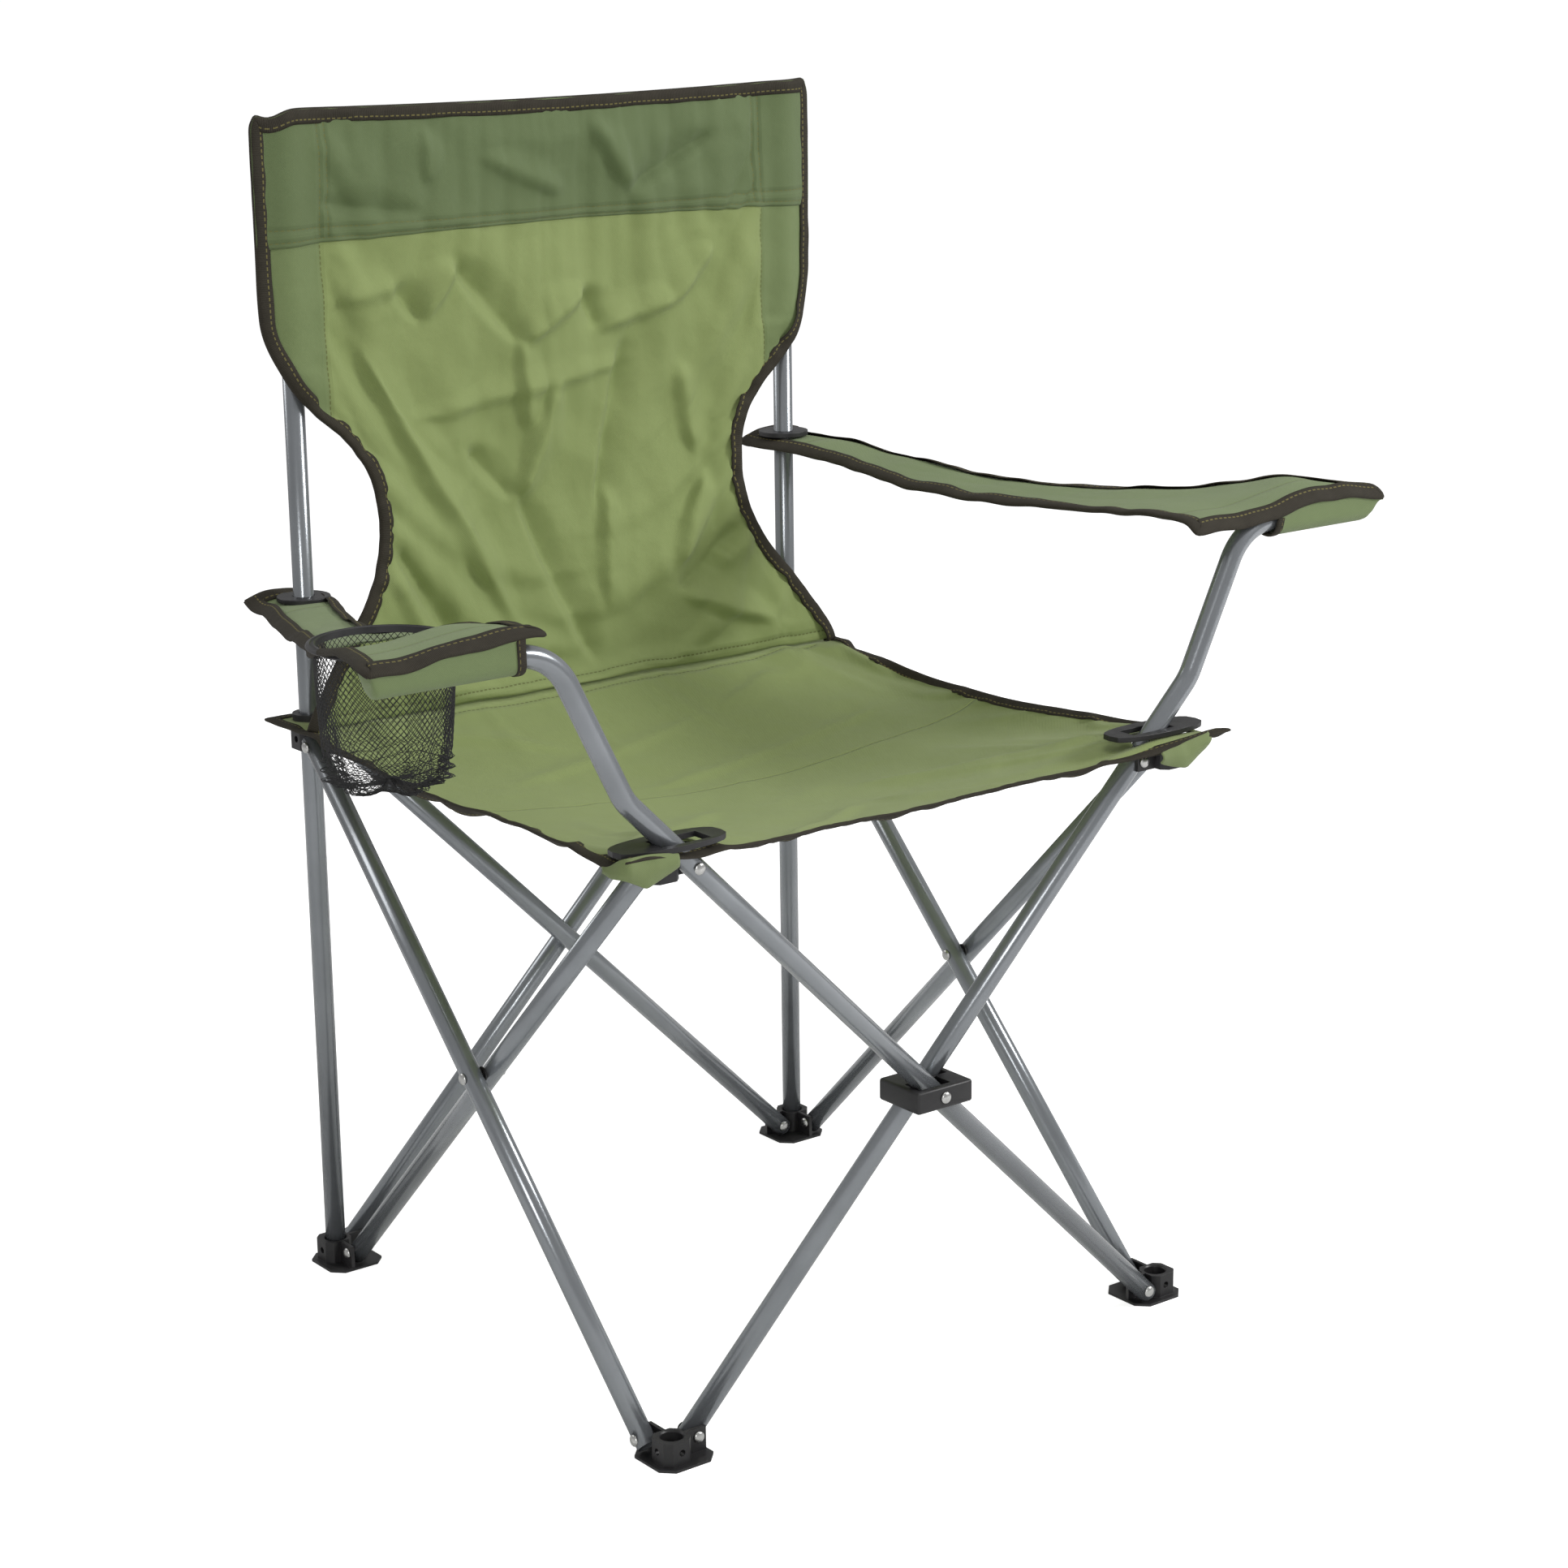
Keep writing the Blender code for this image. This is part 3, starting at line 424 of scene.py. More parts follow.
def make_piece(
    name: str, shape: Shape, finish: Material, body: str,
    replaced: Sequence[str] = (), sharp: float = 40.0,
) -> Piece:
    """Turns a finished bmesh into a piece of the chair.

    Args:
        name: the piece's name.
        shape: its mesh, which is freed.
        finish: its material.
        body: the CAD body that it rides on.
        replaced: the CAD nodes that it stands for.
        sharp: edges that turn more than this many degrees stay sharp.

    Returns:
        The new object.
    """
    mesh = bpy.data.meshes.new(name)
    shape.to_mesh(mesh)
    shape.free()
    mesh.materials.append(finish)
    mesh.shade_smooth()
    mesh.set_sharp_from_angle(angle=math.radians(sharp))
    piece = bpy.data.objects.new(name, mesh)
    bpy.context.scene.collection.objects.link(piece)
    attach(piece, body)
    if replaced:
        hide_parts(*replaced)
    LOG.info("made %s on %s", name, body)
    return piece


def grid_shape(rows: Rows, flats: Flats | None = None) -> Shape:
    """Returns a sheet whose grid points are given row by row, with a UV map from the flats."""
    columns, count = len(rows[0]) - 1, len(rows) - 1
    shape = bmesh.new()
    bmesh.ops.create_grid(shape, x_segments=columns, y_segments=count, size=0.5)
    spots = {}
    for vertex in shape.verts:
        column = round((vertex.co.x + 0.5) * columns)
        row = round((vertex.co.y + 0.5) * count)
        spots[vertex] = (row, column)
        vertex.co = rows[row][column]
    if flats:
        layer = shape.loops.layers.uv.new("flat")
        for face in shape.faces:
            for loop in face.loops:
                row, column = spots[loop.vert]
                loop[layer].uv = flats[row][column]
    return shape


def spun_shape(profile: Sequence[tuple[float, float]], steps: int) -> Shape:
    """Returns the closed solid that a profile of radii and heights makes when turned round Z."""
    shape = bmesh.new()
    points = [shape.verts.new((radius, 0, height)) for radius, height in profile]
    lines = [shape.edges.new(pair) for pair in zip(points, points[1:])]
    bmesh.ops.spin(shape, geom=points + lines, axis=(0, 0, 1), cent=(0, 0, 0), steps=steps,
                   angle=2 * math.pi, use_merge=True)
    close_shape(shape)
    return shape


def close_shape(shape: Shape) -> None:
    """Merges meeting points and turns every face outwards."""
    bmesh.ops.remove_doubles(shape, verts=shape.verts, dist=MERGE)
    bmesh.ops.recalc_face_normals(shape, faces=shape.faces)


def add_wall(piece: Piece, thickness: float, offset: float = 0.0) -> None:
    """Gives a sheet its thickness."""
    wall = piece.modifiers.new("wall", "SOLIDIFY")
    wall.thickness = thickness
    wall.offset = offset


def add_subdivision(piece: Piece) -> None:
    """Rounds a piece once, the same in the viewport and in a render."""
    rounding = piece.modifiers.new("rounding", "SUBSURF")
    rounding.levels = 1
    rounding.render_levels = 1


def cloth_piece(
    name: str, rows: Rows, flats: Flats, finish: Material, body: str,
    replaced: Sequence[str] = (), hole: Callable[[Face], bool] | None = None,
    rounded: bool = True, thickness: float = CLOTH_WALL,
) -> Piece:
    """Builds a piece of cloth or tape from its grid points.

    Args:
        name: the piece's name.
        rows: its grid points.
        flats: each point's flat place.
        finish: its material.
        body: the CAD body that it rides on.
        replaced: the CAD nodes that it stands for.
        hole: tells whether a face of the grid is cut out.
        rounded: whether the grid is rounded once.
        thickness: the wall that it gets.

    Returns:
        The new object.
    """
    shape = grid_shape(rows, flats)
    if hole:
        gone = [face for face in shape.faces if hole(face)]
        bmesh.ops.delete(shape, geom=gone, context="FACES")
    piece = make_piece(name, shape, finish, body, replaced, SMOOTH)
    if rounded:
        add_subdivision(piece)
    add_wall(piece, thickness)
    return piece


def rim_of(rows: Rows, columns: range) -> list[tuple[Vector, Vector]]:
    """Returns a row's end as tape steps: each point of the last row with the point behind it."""
    return [(rows[-1][column], rows[-2][column]) for column in columns]


def middle_of(node: str) -> Vector:
    """Returns the middle of a CAD node's box."""
    low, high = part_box(node)
    return (low + high) / 2


def sweep_ring(route: Sequence[Vector], radius: Callable[[int], float], sides: int) -> Rows:
    """Returns rings of points square to a route, each closed on itself."""
    rings: Rows = []
    across = None
    for index, point in enumerate(route):
        before = route[max(index - 1, 0)]
        after = route[min(index + 1, len(route) - 1)]
        along = (after - before).normalized()
        across = (across or along.orthogonal())
        across = (across - along * across.dot(along)).normalized()
        other = along.cross(across)
        size = radius(index)
        turns = [2 * math.pi * side / sides for side in range(sides + 1)]
        rings.append([point + size * (math.cos(t) * across + math.sin(t) * other) for t in turns])
    return rings


def even_points(route: Sequence[Vector], spacing: float) -> list[Vector]:
    """Returns a route's points with more between them, about this far apart."""
    points = []
    for before, after in zip(route, route[1:]):
        count = max(round((after - before).length / spacing), 1)
        points += [before.lerp(after, step / count) for step in range(count)]
    return points + [route[-1]]


def rounded_route(corners: Sequence[Vector], radius: float, steps: int = 14) -> list[Vector]:
    """Returns the points of a route with an arc of this radius at each inner corner."""
    route = [corners[0]]
    for before, corner, after in zip(corners, corners[1:], corners[2:]):
        back = (before - corner).normalized()
        on = (after - corner).normalized()
        half = back.angle(on) / 2
        reach = radius / math.tan(half)
        middle = corner + (back + on).normalized() * (radius / math.sin(half))
        start = corner + back * reach - middle
        end = corner + on * reach - middle
        for step in range(steps + 1):
            route.append(middle + radius * start.slerp(end, step / steps).normalized())
    return route + [corners[-1]]


@dataclass(frozen=True)
class Settling:
    """Hangs a sheet from its pinned points with some spare cloth, by cloth simulation.

    Slack is how much longer the cloth is than the shape given, as a share; frames is how many
    frames it settles for.
    """

    slack: float
    frames: int
    quality: int = 5
    mass: float = 0.25
    stretching: float = 25
    shearing: float = 12
    bending: float = 0.6
    damping: float = 4
    gravity: float = 0.4

    def add_cloth(self, sheet: Piece, held: bpy.types.VertexGroup) -> None:
        """Gives a sheet the cloth simulation, held where its vertex group says."""
        cloth = sheet.modifiers.new("settle", "CLOTH")
        settings = cloth.settings
        settings.quality = self.quality
        settings.mass = self.mass
        settings.tension_stiffness = self.stretching
        settings.compression_stiffness = self.stretching
        settings.shear_stiffness = self.shearing
        settings.bending_stiffness = self.bending
        settings.air_damping = self.damping
        settings.vertex_group_mass = held.name
        settings.shrink_min = -self.slack
        settings.effector_weights.gravity = self.gravity
        cloth.point_cache.frame_end = self.frames

    def settle(self, rows: Rows, pinned: Callable[[int, int], bool]) -> Rows:
        """Returns the grid points after settling.

        Args:
            rows: the sheet's grid points.
            pinned: whether the point in this row and column is held.
        """
        shape = grid_shape(rows)
        mesh = bpy.data.meshes.new("settling")
        shape.to_mesh(mesh)
        shape.free()
        sheet = bpy.data.objects.new("settling", mesh)
        bpy.context.scene.collection.objects.link(sheet)
        near = {}
        for row, points in enumerate(rows):
            for column, point in enumerate(points):
                near[tuple(round(part, 5) for part in point)] = (row, column)
        order = [near[tuple(round(part, 5) for part in vertex.co)] for vertex in mesh.vertices]
        held = sheet.vertex_groups.new(name="held")
        held.add([index for index, spot in enumerate(order) if pinned(*spot)], 1.0, "REPLACE")
        self.add_cloth(sheet, held)
        scene = bpy.context.scene
        for step in range(1, self.frames + 1):
            scene.frame_set(step)
        settled = sheet.evaluated_get(bpy.context.evaluated_depsgraph_get())
        result: Rows = [[Vector() for _ in points] for points in rows]
        for (row, column), vertex in zip(order, settled.data.vertices):
            result[row][column] = vertex.co.copy()
        scene.frame_set(1)
        bpy.data.objects.remove(sheet)
        bpy.data.meshes.remove(mesh)
        return result


def normals_of(rows: Rows) -> Rows:
    """Returns the normal at each grid point of a sheet."""
    last_row, last_column = len(rows) - 1, len(rows[0]) - 1
    found: Rows = []
    for row in range(last_row + 1):
        line = []
        for column in range(last_column + 1):
            along = rows[row][min(column + 1, last_column)] - rows[row][max(column - 1, 0)]
            up = rows[min(row + 1, last_row)][column] - rows[max(row - 1, 0)][column]
            line.append(along.cross(up).normalized())
        found.append(line)
    return found


@dataclass(frozen=True)
class Crease:
    """A straight crease in a cloth, between two flat places: steep on one side, long on the other."""

    start: tuple[float, float]
    end: tuple[float, float]
    rise: float
    spread: float

    @classmethod
    def table(cls, *lines: tuple[float, ...]) -> tuple["Crease", ...]:
        """Returns the creases of a table, each line with two flat places, the rise and the spread."""
        return tuple(cls(line[:2], line[2:4], *line[4:]) for line in lines)

    def lift(self, place: tuple[float, float]) -> float:
        """Returns how far the crease lifts the cloth at this flat place: a sharp ridge."""
        start, run = Vector(self.start), Vector(self.end) - Vector(self.start)
        off = Vector(place) - start
        along = off.dot(run) / run.length_squared
        if not -0.1 < along < 1.1:
            return 0.0
        across = off.cross(run) / run.length
        reach = self.spread * (0.45 + 0.55 * math.sin(math.pi * min(max(along, 0), 1)))
        reach *= 0.6 if across > 0 else 1.5
        slope = max(1 - abs(across) / reach, 0)
        ends = smooth_step((along + 0.1) / 0.25) * smooth_step((1.1 - along) / 0.25)
        return 1.3 * self.rise * slope**1.3 * ends


@dataclass(frozen=True)
class Crumple:
    """Flat-faced crumples that cover a cloth, and the longer creases among them."""

    rise: float
    cell: float
    creases: tuple[Crease, ...] = ()
    stretch: float = 0.6
    fine: float = 0.35

    def lift(self, place: tuple[float, float]) -> float:
        """Returns how far the cloth stands off its smooth shape at this flat place."""
        x, y = place
        warp = 0.35 * noise.noise(Vector((x * 9, y * 9, 5.5)))
        spot = Vector((x / self.cell + warp, y * self.stretch / self.cell - warp, 0.3))
        near = noise.voronoi(spot, distance_metric="DISTANCE")[0]
        small = noise.voronoi(spot * 2.7 + Vector((7, 3, 1)), distance_metric="DISTANCE")[0]
        value = near[0] - 0.4 + self.fine * (small[0] - 0.4)
        return self.rise * value + sum(crease.lift(place) for crease in self.creases)

    def press(self, rows: Rows, flats: Flats, hold: Callable[[int, int], float]) -> Rows:
        """Returns a sheet's grid points with the crumples added.

        Args:
            rows: the sheet's grid points.
            flats: each point's flat place.
            hold: the share of the crumples, from 0 to 1, at a row and column.
        """
        normals = normals_of(rows)
        return [
            [point + normals[r][c] * self.lift(flats[r][c]) * hold(r, c) for c, point in enumerate(row)]
            for r, row in enumerate(rows)
        ]


@dataclass(frozen=True)
class Tape:
    """Binding tape folded over an edge.

    It has a width on each face, stands proud of the cloth and beyond its edge, waves a little, and
    narrows beside a round hole whose X, Y and radius clear_of gives. Its section runs round the
    edge, as shares of the width inwards and of proud.
    """

    width: float = 0.0095
    proud: float = 0.0012
    beyond: float = 0.0016
    wave: float = 0.0007
    thickness: float = 0.0007
    narrowest: float = 0.0035
    clear_of: tuple[float, float, float] | None = None
    section: tuple[tuple[float, float], ...] = (
        (1, 0.75), (0.55, 1.0), (0.1, 1.0), (-0.2, 0.0), (0.1, -1.0), (0.55, -1.0), (1, -0.75),
    )

    def piece(
        self, name: str, edge: Sequence[tuple[Vector, Vector]], finish: Material, body: str
    ) -> Piece:
        """Sews tape along an edge.

        Args:
            name: the tape's name.
            edge: for each step the point on the edge and a point inwards from it on the cloth.
            finish: the tape's material.
            body: the CAD body it rides on.

        Returns:
            The tape.
        """
        rows: Rows = []
        flats: Flats = []
        length = 0.0
        last = len(edge) - 1
        for index, (point, inner) in enumerate(edge):
            before = edge[max(index - 1, 0)][0]
            after = edge[min(index + 1, last)][0]
            if index:
                length += (point - before).length
            along = (after - before).normalized()
            inward = inner - point
            inward = (inward - along * inward.dot(along)).normalized()
            normal = along.cross(inward)
            sway = self.wave * noise.noise(point * 55)
            width = self.width * (1 + 0.10 * noise.noise(point * 30 + Vector((3, 1, 7))))
            if self.clear_of:
                off = math.hypot(point.x - self.clear_of[0], point.y - self.clear_of[1])
                width = min(width, max(off - self.clear_of[2], self.narrowest))
            line, flat = [], []
            for part, (depth, rise) in enumerate(self.section):
                reach = width * depth if depth > 0 else -self.beyond
                line.append(point + inward * reach + normal * (rise * self.proud + sway))
                flat.append((length, part / (len(self.section) - 1)))
            rows.append(line)
            flats.append(flat)
        return cloth_piece(name, rows, flats, finish, body, thickness=self.thickness)


# ---------------------------------------------------------------- frame


@dataclass
class TubeFrame:
    """The painted tubes: straight scissor tubes, bent front tubes and rear posts."""

    finish: Material
    radius: float = 0.008
    wall: float = 0.001
    beyond_pivot: float = 0.007
    sides: int = 32
    bend_radius: float = 0.045
    lower_bend: tuple[float, float] = (0.055, 0.055)
    upper_bend: tuple[float, float] = (0.110, 0.166)
    bar_end: float = 0.458

    def tube(self, node: str, body: str, route: Sequence[Vector]) -> None:
        """Builds one open tube along a route in place of its CAD node."""
        shape = grid_shape(sweep_ring(route, lambda _: self.radius, self.sides))
        close_shape(shape)
        piece = make_piece(f"{node}_painted", shape, self.finish, body, [node], 60)
        add_wall(piece, self.wall, -1.0)

    def straight(self, node: str, body: str) -> None:
        """Builds a straight scissor tube along the diagonal of its CAD node's box."""
        low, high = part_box(node)
        middle = (low + high) / 2
        axis = 0 if high.x - low.x > high.y - low.y else 1
        ends = [vertex.co - middle for vertex in frame["nodes"][node].data.vertices]
        side = 1 if sum(end[axis] * end.z for end in ends) > 0 else -1
        rim = 2 * self.radius * math.cos(math.pi / 4)
        half = Vector((0, 0, (high.z - low.z - rim) / 2))
        half[axis] = side * (high[axis] - low[axis] - rim) / 2
        self.tube(node, body, [middle - half, middle, middle + half])

    def bent(self, node: str, body: str, side: Side) -> None:
        """Builds a front tube that goes on up as an armrest's upright and bar."""
        y, hand = middle_of(node).y, side.value
        pivot_x, _, pivot_z = joint("left_arm_pivot")["pos_m"]
        foot_z = joint("right_arm_pivot")["pos_m"][2]
        top = Vector((hand * abs(pivot_x), y, pivot_z))
        foot = Vector((-hand * abs(pivot_x), y, foot_z))
        along = (top - foot).normalized()
        bends = [top + Vector((hand * x, 0, z)) for x, z in (self.lower_bend, self.upper_bend)]
        corners = [foot - along * self.beyond_pivot, *bends]
        corners.append(Vector((hand * self.bar_end, y, bends[1].z)))
        self.tube(node, body, rounded_route(corners, self.bend_radius))

    def post(self, node: str, body: str) -> None:
        """Builds a rear post."""
        middle = middle_of(node)
        ends = (Vector((middle.x, middle.y, corner.z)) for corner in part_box(node))
        self.tube(node, body, list(ends))

    def build(self) -> None:
        """Builds every tube on the body that holds its CAD node."""
        for body, members in frame["record"]["behaviour"]["bodies"].items():
            for node in members:
                if node.startswith("post_") and not node.endswith("rivet"):
                    self.post(node, body)
                elif node == "front_outer_tube":
                    self.bent(node, body, Side.LEFT)
                elif node == "front_inner_tube":
                    self.bent(node, body, Side.RIGHT)
                elif node.endswith("_tube"):
                    self.straight(node, body)


@dataclass
class Fittings:
    """The moulded plastic pieces and the rivets, each in place of its CAD node."""

    plastic: Material
    zinc: Material
    bevel: float = 0.0007
    rivet_head: float = 0.0045
    rivet_dome: float = 0.0021
    rivet_shank: float = 0.0023
    rivet_steps: int = 24

    def moulded(self, node: str, body: str) -> None:
        """Builds a moulding from its CAD node, merged and with rounded edges."""
        shape = bmesh.new()
        shape.from_mesh(frame["nodes"][node].data)
        for layer in list(shape.loops.layers.uv):
            shape.loops.layers.uv.remove(layer)
        bmesh.ops.remove_doubles(shape, verts=shape.verts, dist=MERGE)
        bmesh.ops.dissolve_limit(
            shape, angle_limit=math.radians(1), verts=shape.verts, edges=shape.edges
        )
        piece = make_piece(f"{node}_moulded", shape, self.plastic, body, [node], 30)
        edges = piece.modifiers.new("rounded_edges", "BEVEL")
        edges.width = self.bevel
        edges.segments = 2
        edges.limit_method = "ANGLE"
        edges.angle_limit = math.radians(32)
        edges.harden_normals = True

    def rivet(self, node: str, body: str) -> None:
        """Builds a smooth domed rivet along the long side of its CAD node's box."""
        low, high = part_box(node)
        size = high - low
        odd = max(range(3), key=lambda axis: abs(size[axis] - 2 * self.rivet_head))
        middle = (low + high) / 2
        half = size[odd] / 2
        flat = half - self.rivet_dome
        profile = [(0.0, half)]
        for step in range(1, 7):
            turn = math.pi / 2 * step / 6
            profile.append((self.rivet_head * math.sin(turn), flat + self.rivet_dome * math.cos(turn)))
        profile.append((self.rivet_shank, flat))
        profile += [(radius, -height) for radius, height in reversed(profile)]
        shape = spun_shape(profile, self.rivet_steps)
        turn = {0: Matrix.Rotation(math.pi / 2, 4, "Y"), 1: Matrix.Rotation(math.pi / 2, 4, "X")}
        place = Matrix.Translation(middle) @ turn.get(odd, Matrix.Identity(4))
        bmesh.ops.transform(shape, matrix=place, verts=shape.verts)
        make_piece(f"{node}_domed", shape, self.zinc, body, [node], 50)

    def build(self) -> None:
        """Builds every moulding and rivet on the body that holds its CAD node."""
        slots = {part["node"]: part["material_slot"] for part in frame["record"]["subparts"]}
        for body, members in frame["record"]["behaviour"]["bodies"].items():
            for node in members:
                if slots[node] == Slot.ZINC.value:
                    self.rivet(node, body)
                elif slots[node] == Slot.PLASTIC.value and node != "cup_ring":
                    self.moulded(node, body)


# ---------------------------------------------------------------- cloth


@dataclass
class Seat:
    """The seat's cloth, simulated as one sheet and split on the line that it folds on.

    Half_width and half_depth are the posts' places, seam is where the back is sewn on, the corner
    and middle values are how far the cloth reaches, and slot is half the length and width of the
    hole round an upright, which stands off_tube from the corner. Patch is the columns and rows of
    the flat patch at each corner.
    """

    binding: Material
    half_width: float = POST_PLACE
    half_depth: float = POST_PLACE
    height: float = 0.4548
    level: float = 0.034
    seam: float = 0.206
    rear_corner: float = 0.256
    front_corner: float = 0.262
    front_middle: float = 0.218
    at_front: float = 0.280
    at_middle: float = 0.257
    at_rear: float = 0.264
    droop: float = 0.006
    edge_sag: float = 0.007
    corner_rise: float = 0.009
    front_slack: float = 0.014
    middle_slack: float = 0.010
    off_tube: float = 0.009
    slot: tuple[float, float] = (0.036, 0.0165)
    pocket_front: float = -0.2605
    columns: int = 100
    rows_each: int = 46
    patch: tuple[int, int] = (13, 8)
    eased: int = 4
    creases: tuple[Crease, ...] = Crease.table(
        (-0.230, -0.200, -0.060, -0.060, 0.0035, 0.022),
        (0.230, -0.200, 0.080, -0.070, 0.0035, 0.022),
        (-0.220, 0.190, -0.080, 0.110, 0.0030, 0.018),
        (0.220, 0.190, 0.090, 0.130, 0.0030, 0.018),
        (-0.060, 0.020, 0.190, 0.060, 0.0025, 0.014),
        (-0.150, 0.060, 0.060, 0.120, 0.0025, 0.014),
        (-0.100, -0.210, 0.020, -0.130, 0.0030, 0.018),
        (0.100, -0.215, 0.050, -0.120, 0.0030, 0.018),
    )

    def surface(self, x: float, y: float) -> float:
        """Returns the height of the cloth: level corners, slack edges and a slack middle."""
        across = min(abs(x) / (self.half_width - self.level), 1)
        flat = self.half_depth - self.level
        back = min(max((y + flat) / (2 * flat), 0), 1)
        edge = self.height - self.edge_sag * math.sin(math.pi * back) ** 2
        corner = self.corner_rise * smooth_step((-y - 0.243) / 0.019)
        edge += corner * smooth_step((abs(x) - 0.2) / 0.07)
        slack = self.front_slack * (1 - back) + self.middle_slack * math.sin(math.pi * back)
        return edge - slack * (1 - across**2) ** 1.5

    def width_at(self, y: float) -> float:
        """Returns half the seat's width, waisted at its middle."""
        end = self.at_front if y < 0 else self.at_rear
        return self.at_middle + (end - self.at_middle) * min(abs(y) / self.half_depth, 1) ** 2

    def end_at(self, x: float, front: bool) -> float:
        """Returns how far the seat reaches forwards or back at this distance from the middle."""
        if front:
            out = smooth_step((abs(x) / self.half_width - 0.1) / 0.95)
            return -self.front_middle - (self.front_corner - self.front_middle) * out
        flare = smooth_step((abs(x) - (self.half_width - 0.045)) / 0.02)
        return self.seam + (self.rear_corner - self.seam) * flare

    def points(self) -> tuple[Rows, Flats]:
        """Returns the seat's grid points and flat places, from the front row to the rear row."""
        rows: Rows = []
        flats: Flats = []
        for row in range(-self.rows_each, self.rows_each + 1):
            share = abs(row) / self.rows_each
            line, flat = [], []
            for column in range(self.columns + 1):
                spread = 2 * column / self.columns - 1
                y = self.end_at(spread * self.at_middle, row < 0) * share
                x = spread * self.width_at(y)
                ripple = 0.0015 * noise.noise(Vector((x * 22, y * 22, 1.7)))
                inwards = (1 - abs(spread)) * self.at_middle
                if row < 0:
                    inwards = min(inwards, (1 - share) * self.front_middle)
                droop = self.droop * (1 - smooth_step(inwards / 0.013))
                if y > self.seam - 0.03:
                    droop = 0
                line.append(Vector((x, y, self.surface(x, y) + ripple - droop)))
                flat.append((x, y))
            rows.append(line)
            flats.append(flat)
        return rows, flats

    def freedom(self, row: int, column: int) -> float:
        """Returns how freely the cloth crumples here: none at its edges and its corner patches."""
        last = 2 * self.rows_each
        side, end = min(column, self.columns - column), min(row, last - row)
        past_side, past_end = side - self.patch[0] - 3, end - self.patch[1] - 1
        corner = min(max(past_side / 5, 0) + max(past_end / 5, 0), 1)
        return min(side / self.eased, 1) * min(end / self.eased, 1) * corner

    def held(self, row: int, column: int) -> bool:
        """Tells whether the seat is held at this grid point: its edges and its corner patches."""
        last = 2 * self.rows_each
        edge = row in (0, last) or column in (0, self.columns)
        side = min(column, self.columns - column) < self.patch[0]
        return edge or (side and min(row, last - row) < self.patch[1])

    def hole(self, face: Face) -> bool:
        """Tells whether a face lies where a post or an armrest's upright passes."""
        centre = face.calc_center_median()
        x, y = abs(centre.x), centre.y
        if y > 0:
            return math.hypot(x - self.half_width, y - self.half_depth) < POST_HOLE
        tube = -self.half_depth + math.copysign(self.off_tube, centre.x)
        half_length, half_width = self.slot
        share = (x - self.half_width - 0.002) / half_length
        lens = half_width * (1 - share**2)
        return abs(y + self.half_depth) < lens and abs(y - tube) < 0.0115

    def build(self) -> Rows:
        """Builds the two halves and their binding.

        Returns:
            The seat's grid points, which the back panel is sewn to.
        """
        rows, flats = self.points()
        rows = Settling(slack=0.010, frames=22).settle(rows, self.held)
        rows = Crumple(0.0036, 0.085, self.creases, 1.0).press(rows, flats, self.freedom)
        seam_row = StitchLine(True, self.seam - 0.016, -self.half_width, self.half_width)
        cloth = OxfordCloth("seat_oxford_cloth", lines=(seam_row,)).material()
        middle = self.rows_each
        halves = (
            ("seat_front", "seat_front_half", 0, middle + 1),
            ("seat_rear", "seat_rear_half", middle, 2 * middle + 1),
        )
        for node, body, start, end in halves:
            piece = cloth_piece(f"{node}_cloth", rows[start:end], flats[start:end], cloth, body,
                                [node], self.hole)
            tapes = self.tapes(node, body, rows, middle)
            for part in (piece, *tapes):
                fold_across(part)
        # painted shade: the pocket cloth is darker than the seat's to stand in for the shade under the seat's
        # front edge
        tucked = OxfordCloth("pocket_oxford_cloth", colour=(0.190, 0.240, 0.095, 1),
                             shade=(0.125, 0.165, 0.062, 1)).material()
        for side in Side:
            self.pocket(side, tucked)
        return rows

    def pocket(self, side: Side, cloth: Material) -> None:
        """Builds the tucked pocket of cloth below a front corner, outside its bracket, in a darker cloth that
        paints the shade under the seat's edge.
        """
        start, end, deepest = (0.207, 0.260, 0.016) if side is Side.RIGHT else (0.236, 0.281, 0.020)
        corners = [Vector((start, self.pocket_front, 0)), Vector((end, self.pocket_front, 0)),
                   Vector((end + 0.004, -0.240, 0))]
        flat_width, last = 0.022, 8
        rows: Rows = [[] for _ in range(last + 1)]
        flats: Flats = [[] for _ in range(last + 1)]
        length = 0.0
        spots = even_points(rounded_route(corners, 0.008, 10), 0.004)
        for index, spot in enumerate(spots):
            if index:
                length += (spot - spots[index - 1]).length
            tent = max(1 - abs(length - 0.027) / 0.034, 0)
            depth = 0.004 + deepest * tent**0.85
            top = self.surface(spot.x, spot.y) - 0.0035
            for row in range(last + 1):
                share = row / last
                ripple = noise.noise(spot * 90 + Vector((0, 0, share)))
                tuck = 0.0025 * math.sin(math.pi * share) + 0.0012 * ripple
                place = spot + Vector((0.4, -1, 0)) * tuck
                place.z = top - depth * share
                place.x *= side.value
                rows[row].append(place)
                flats[row].append((length, share * flat_width))
        name = side.name.lower()
        piece = cloth_piece(f"seat_pocket_{name}", rows, flats, cloth, f"{name}_bracket")

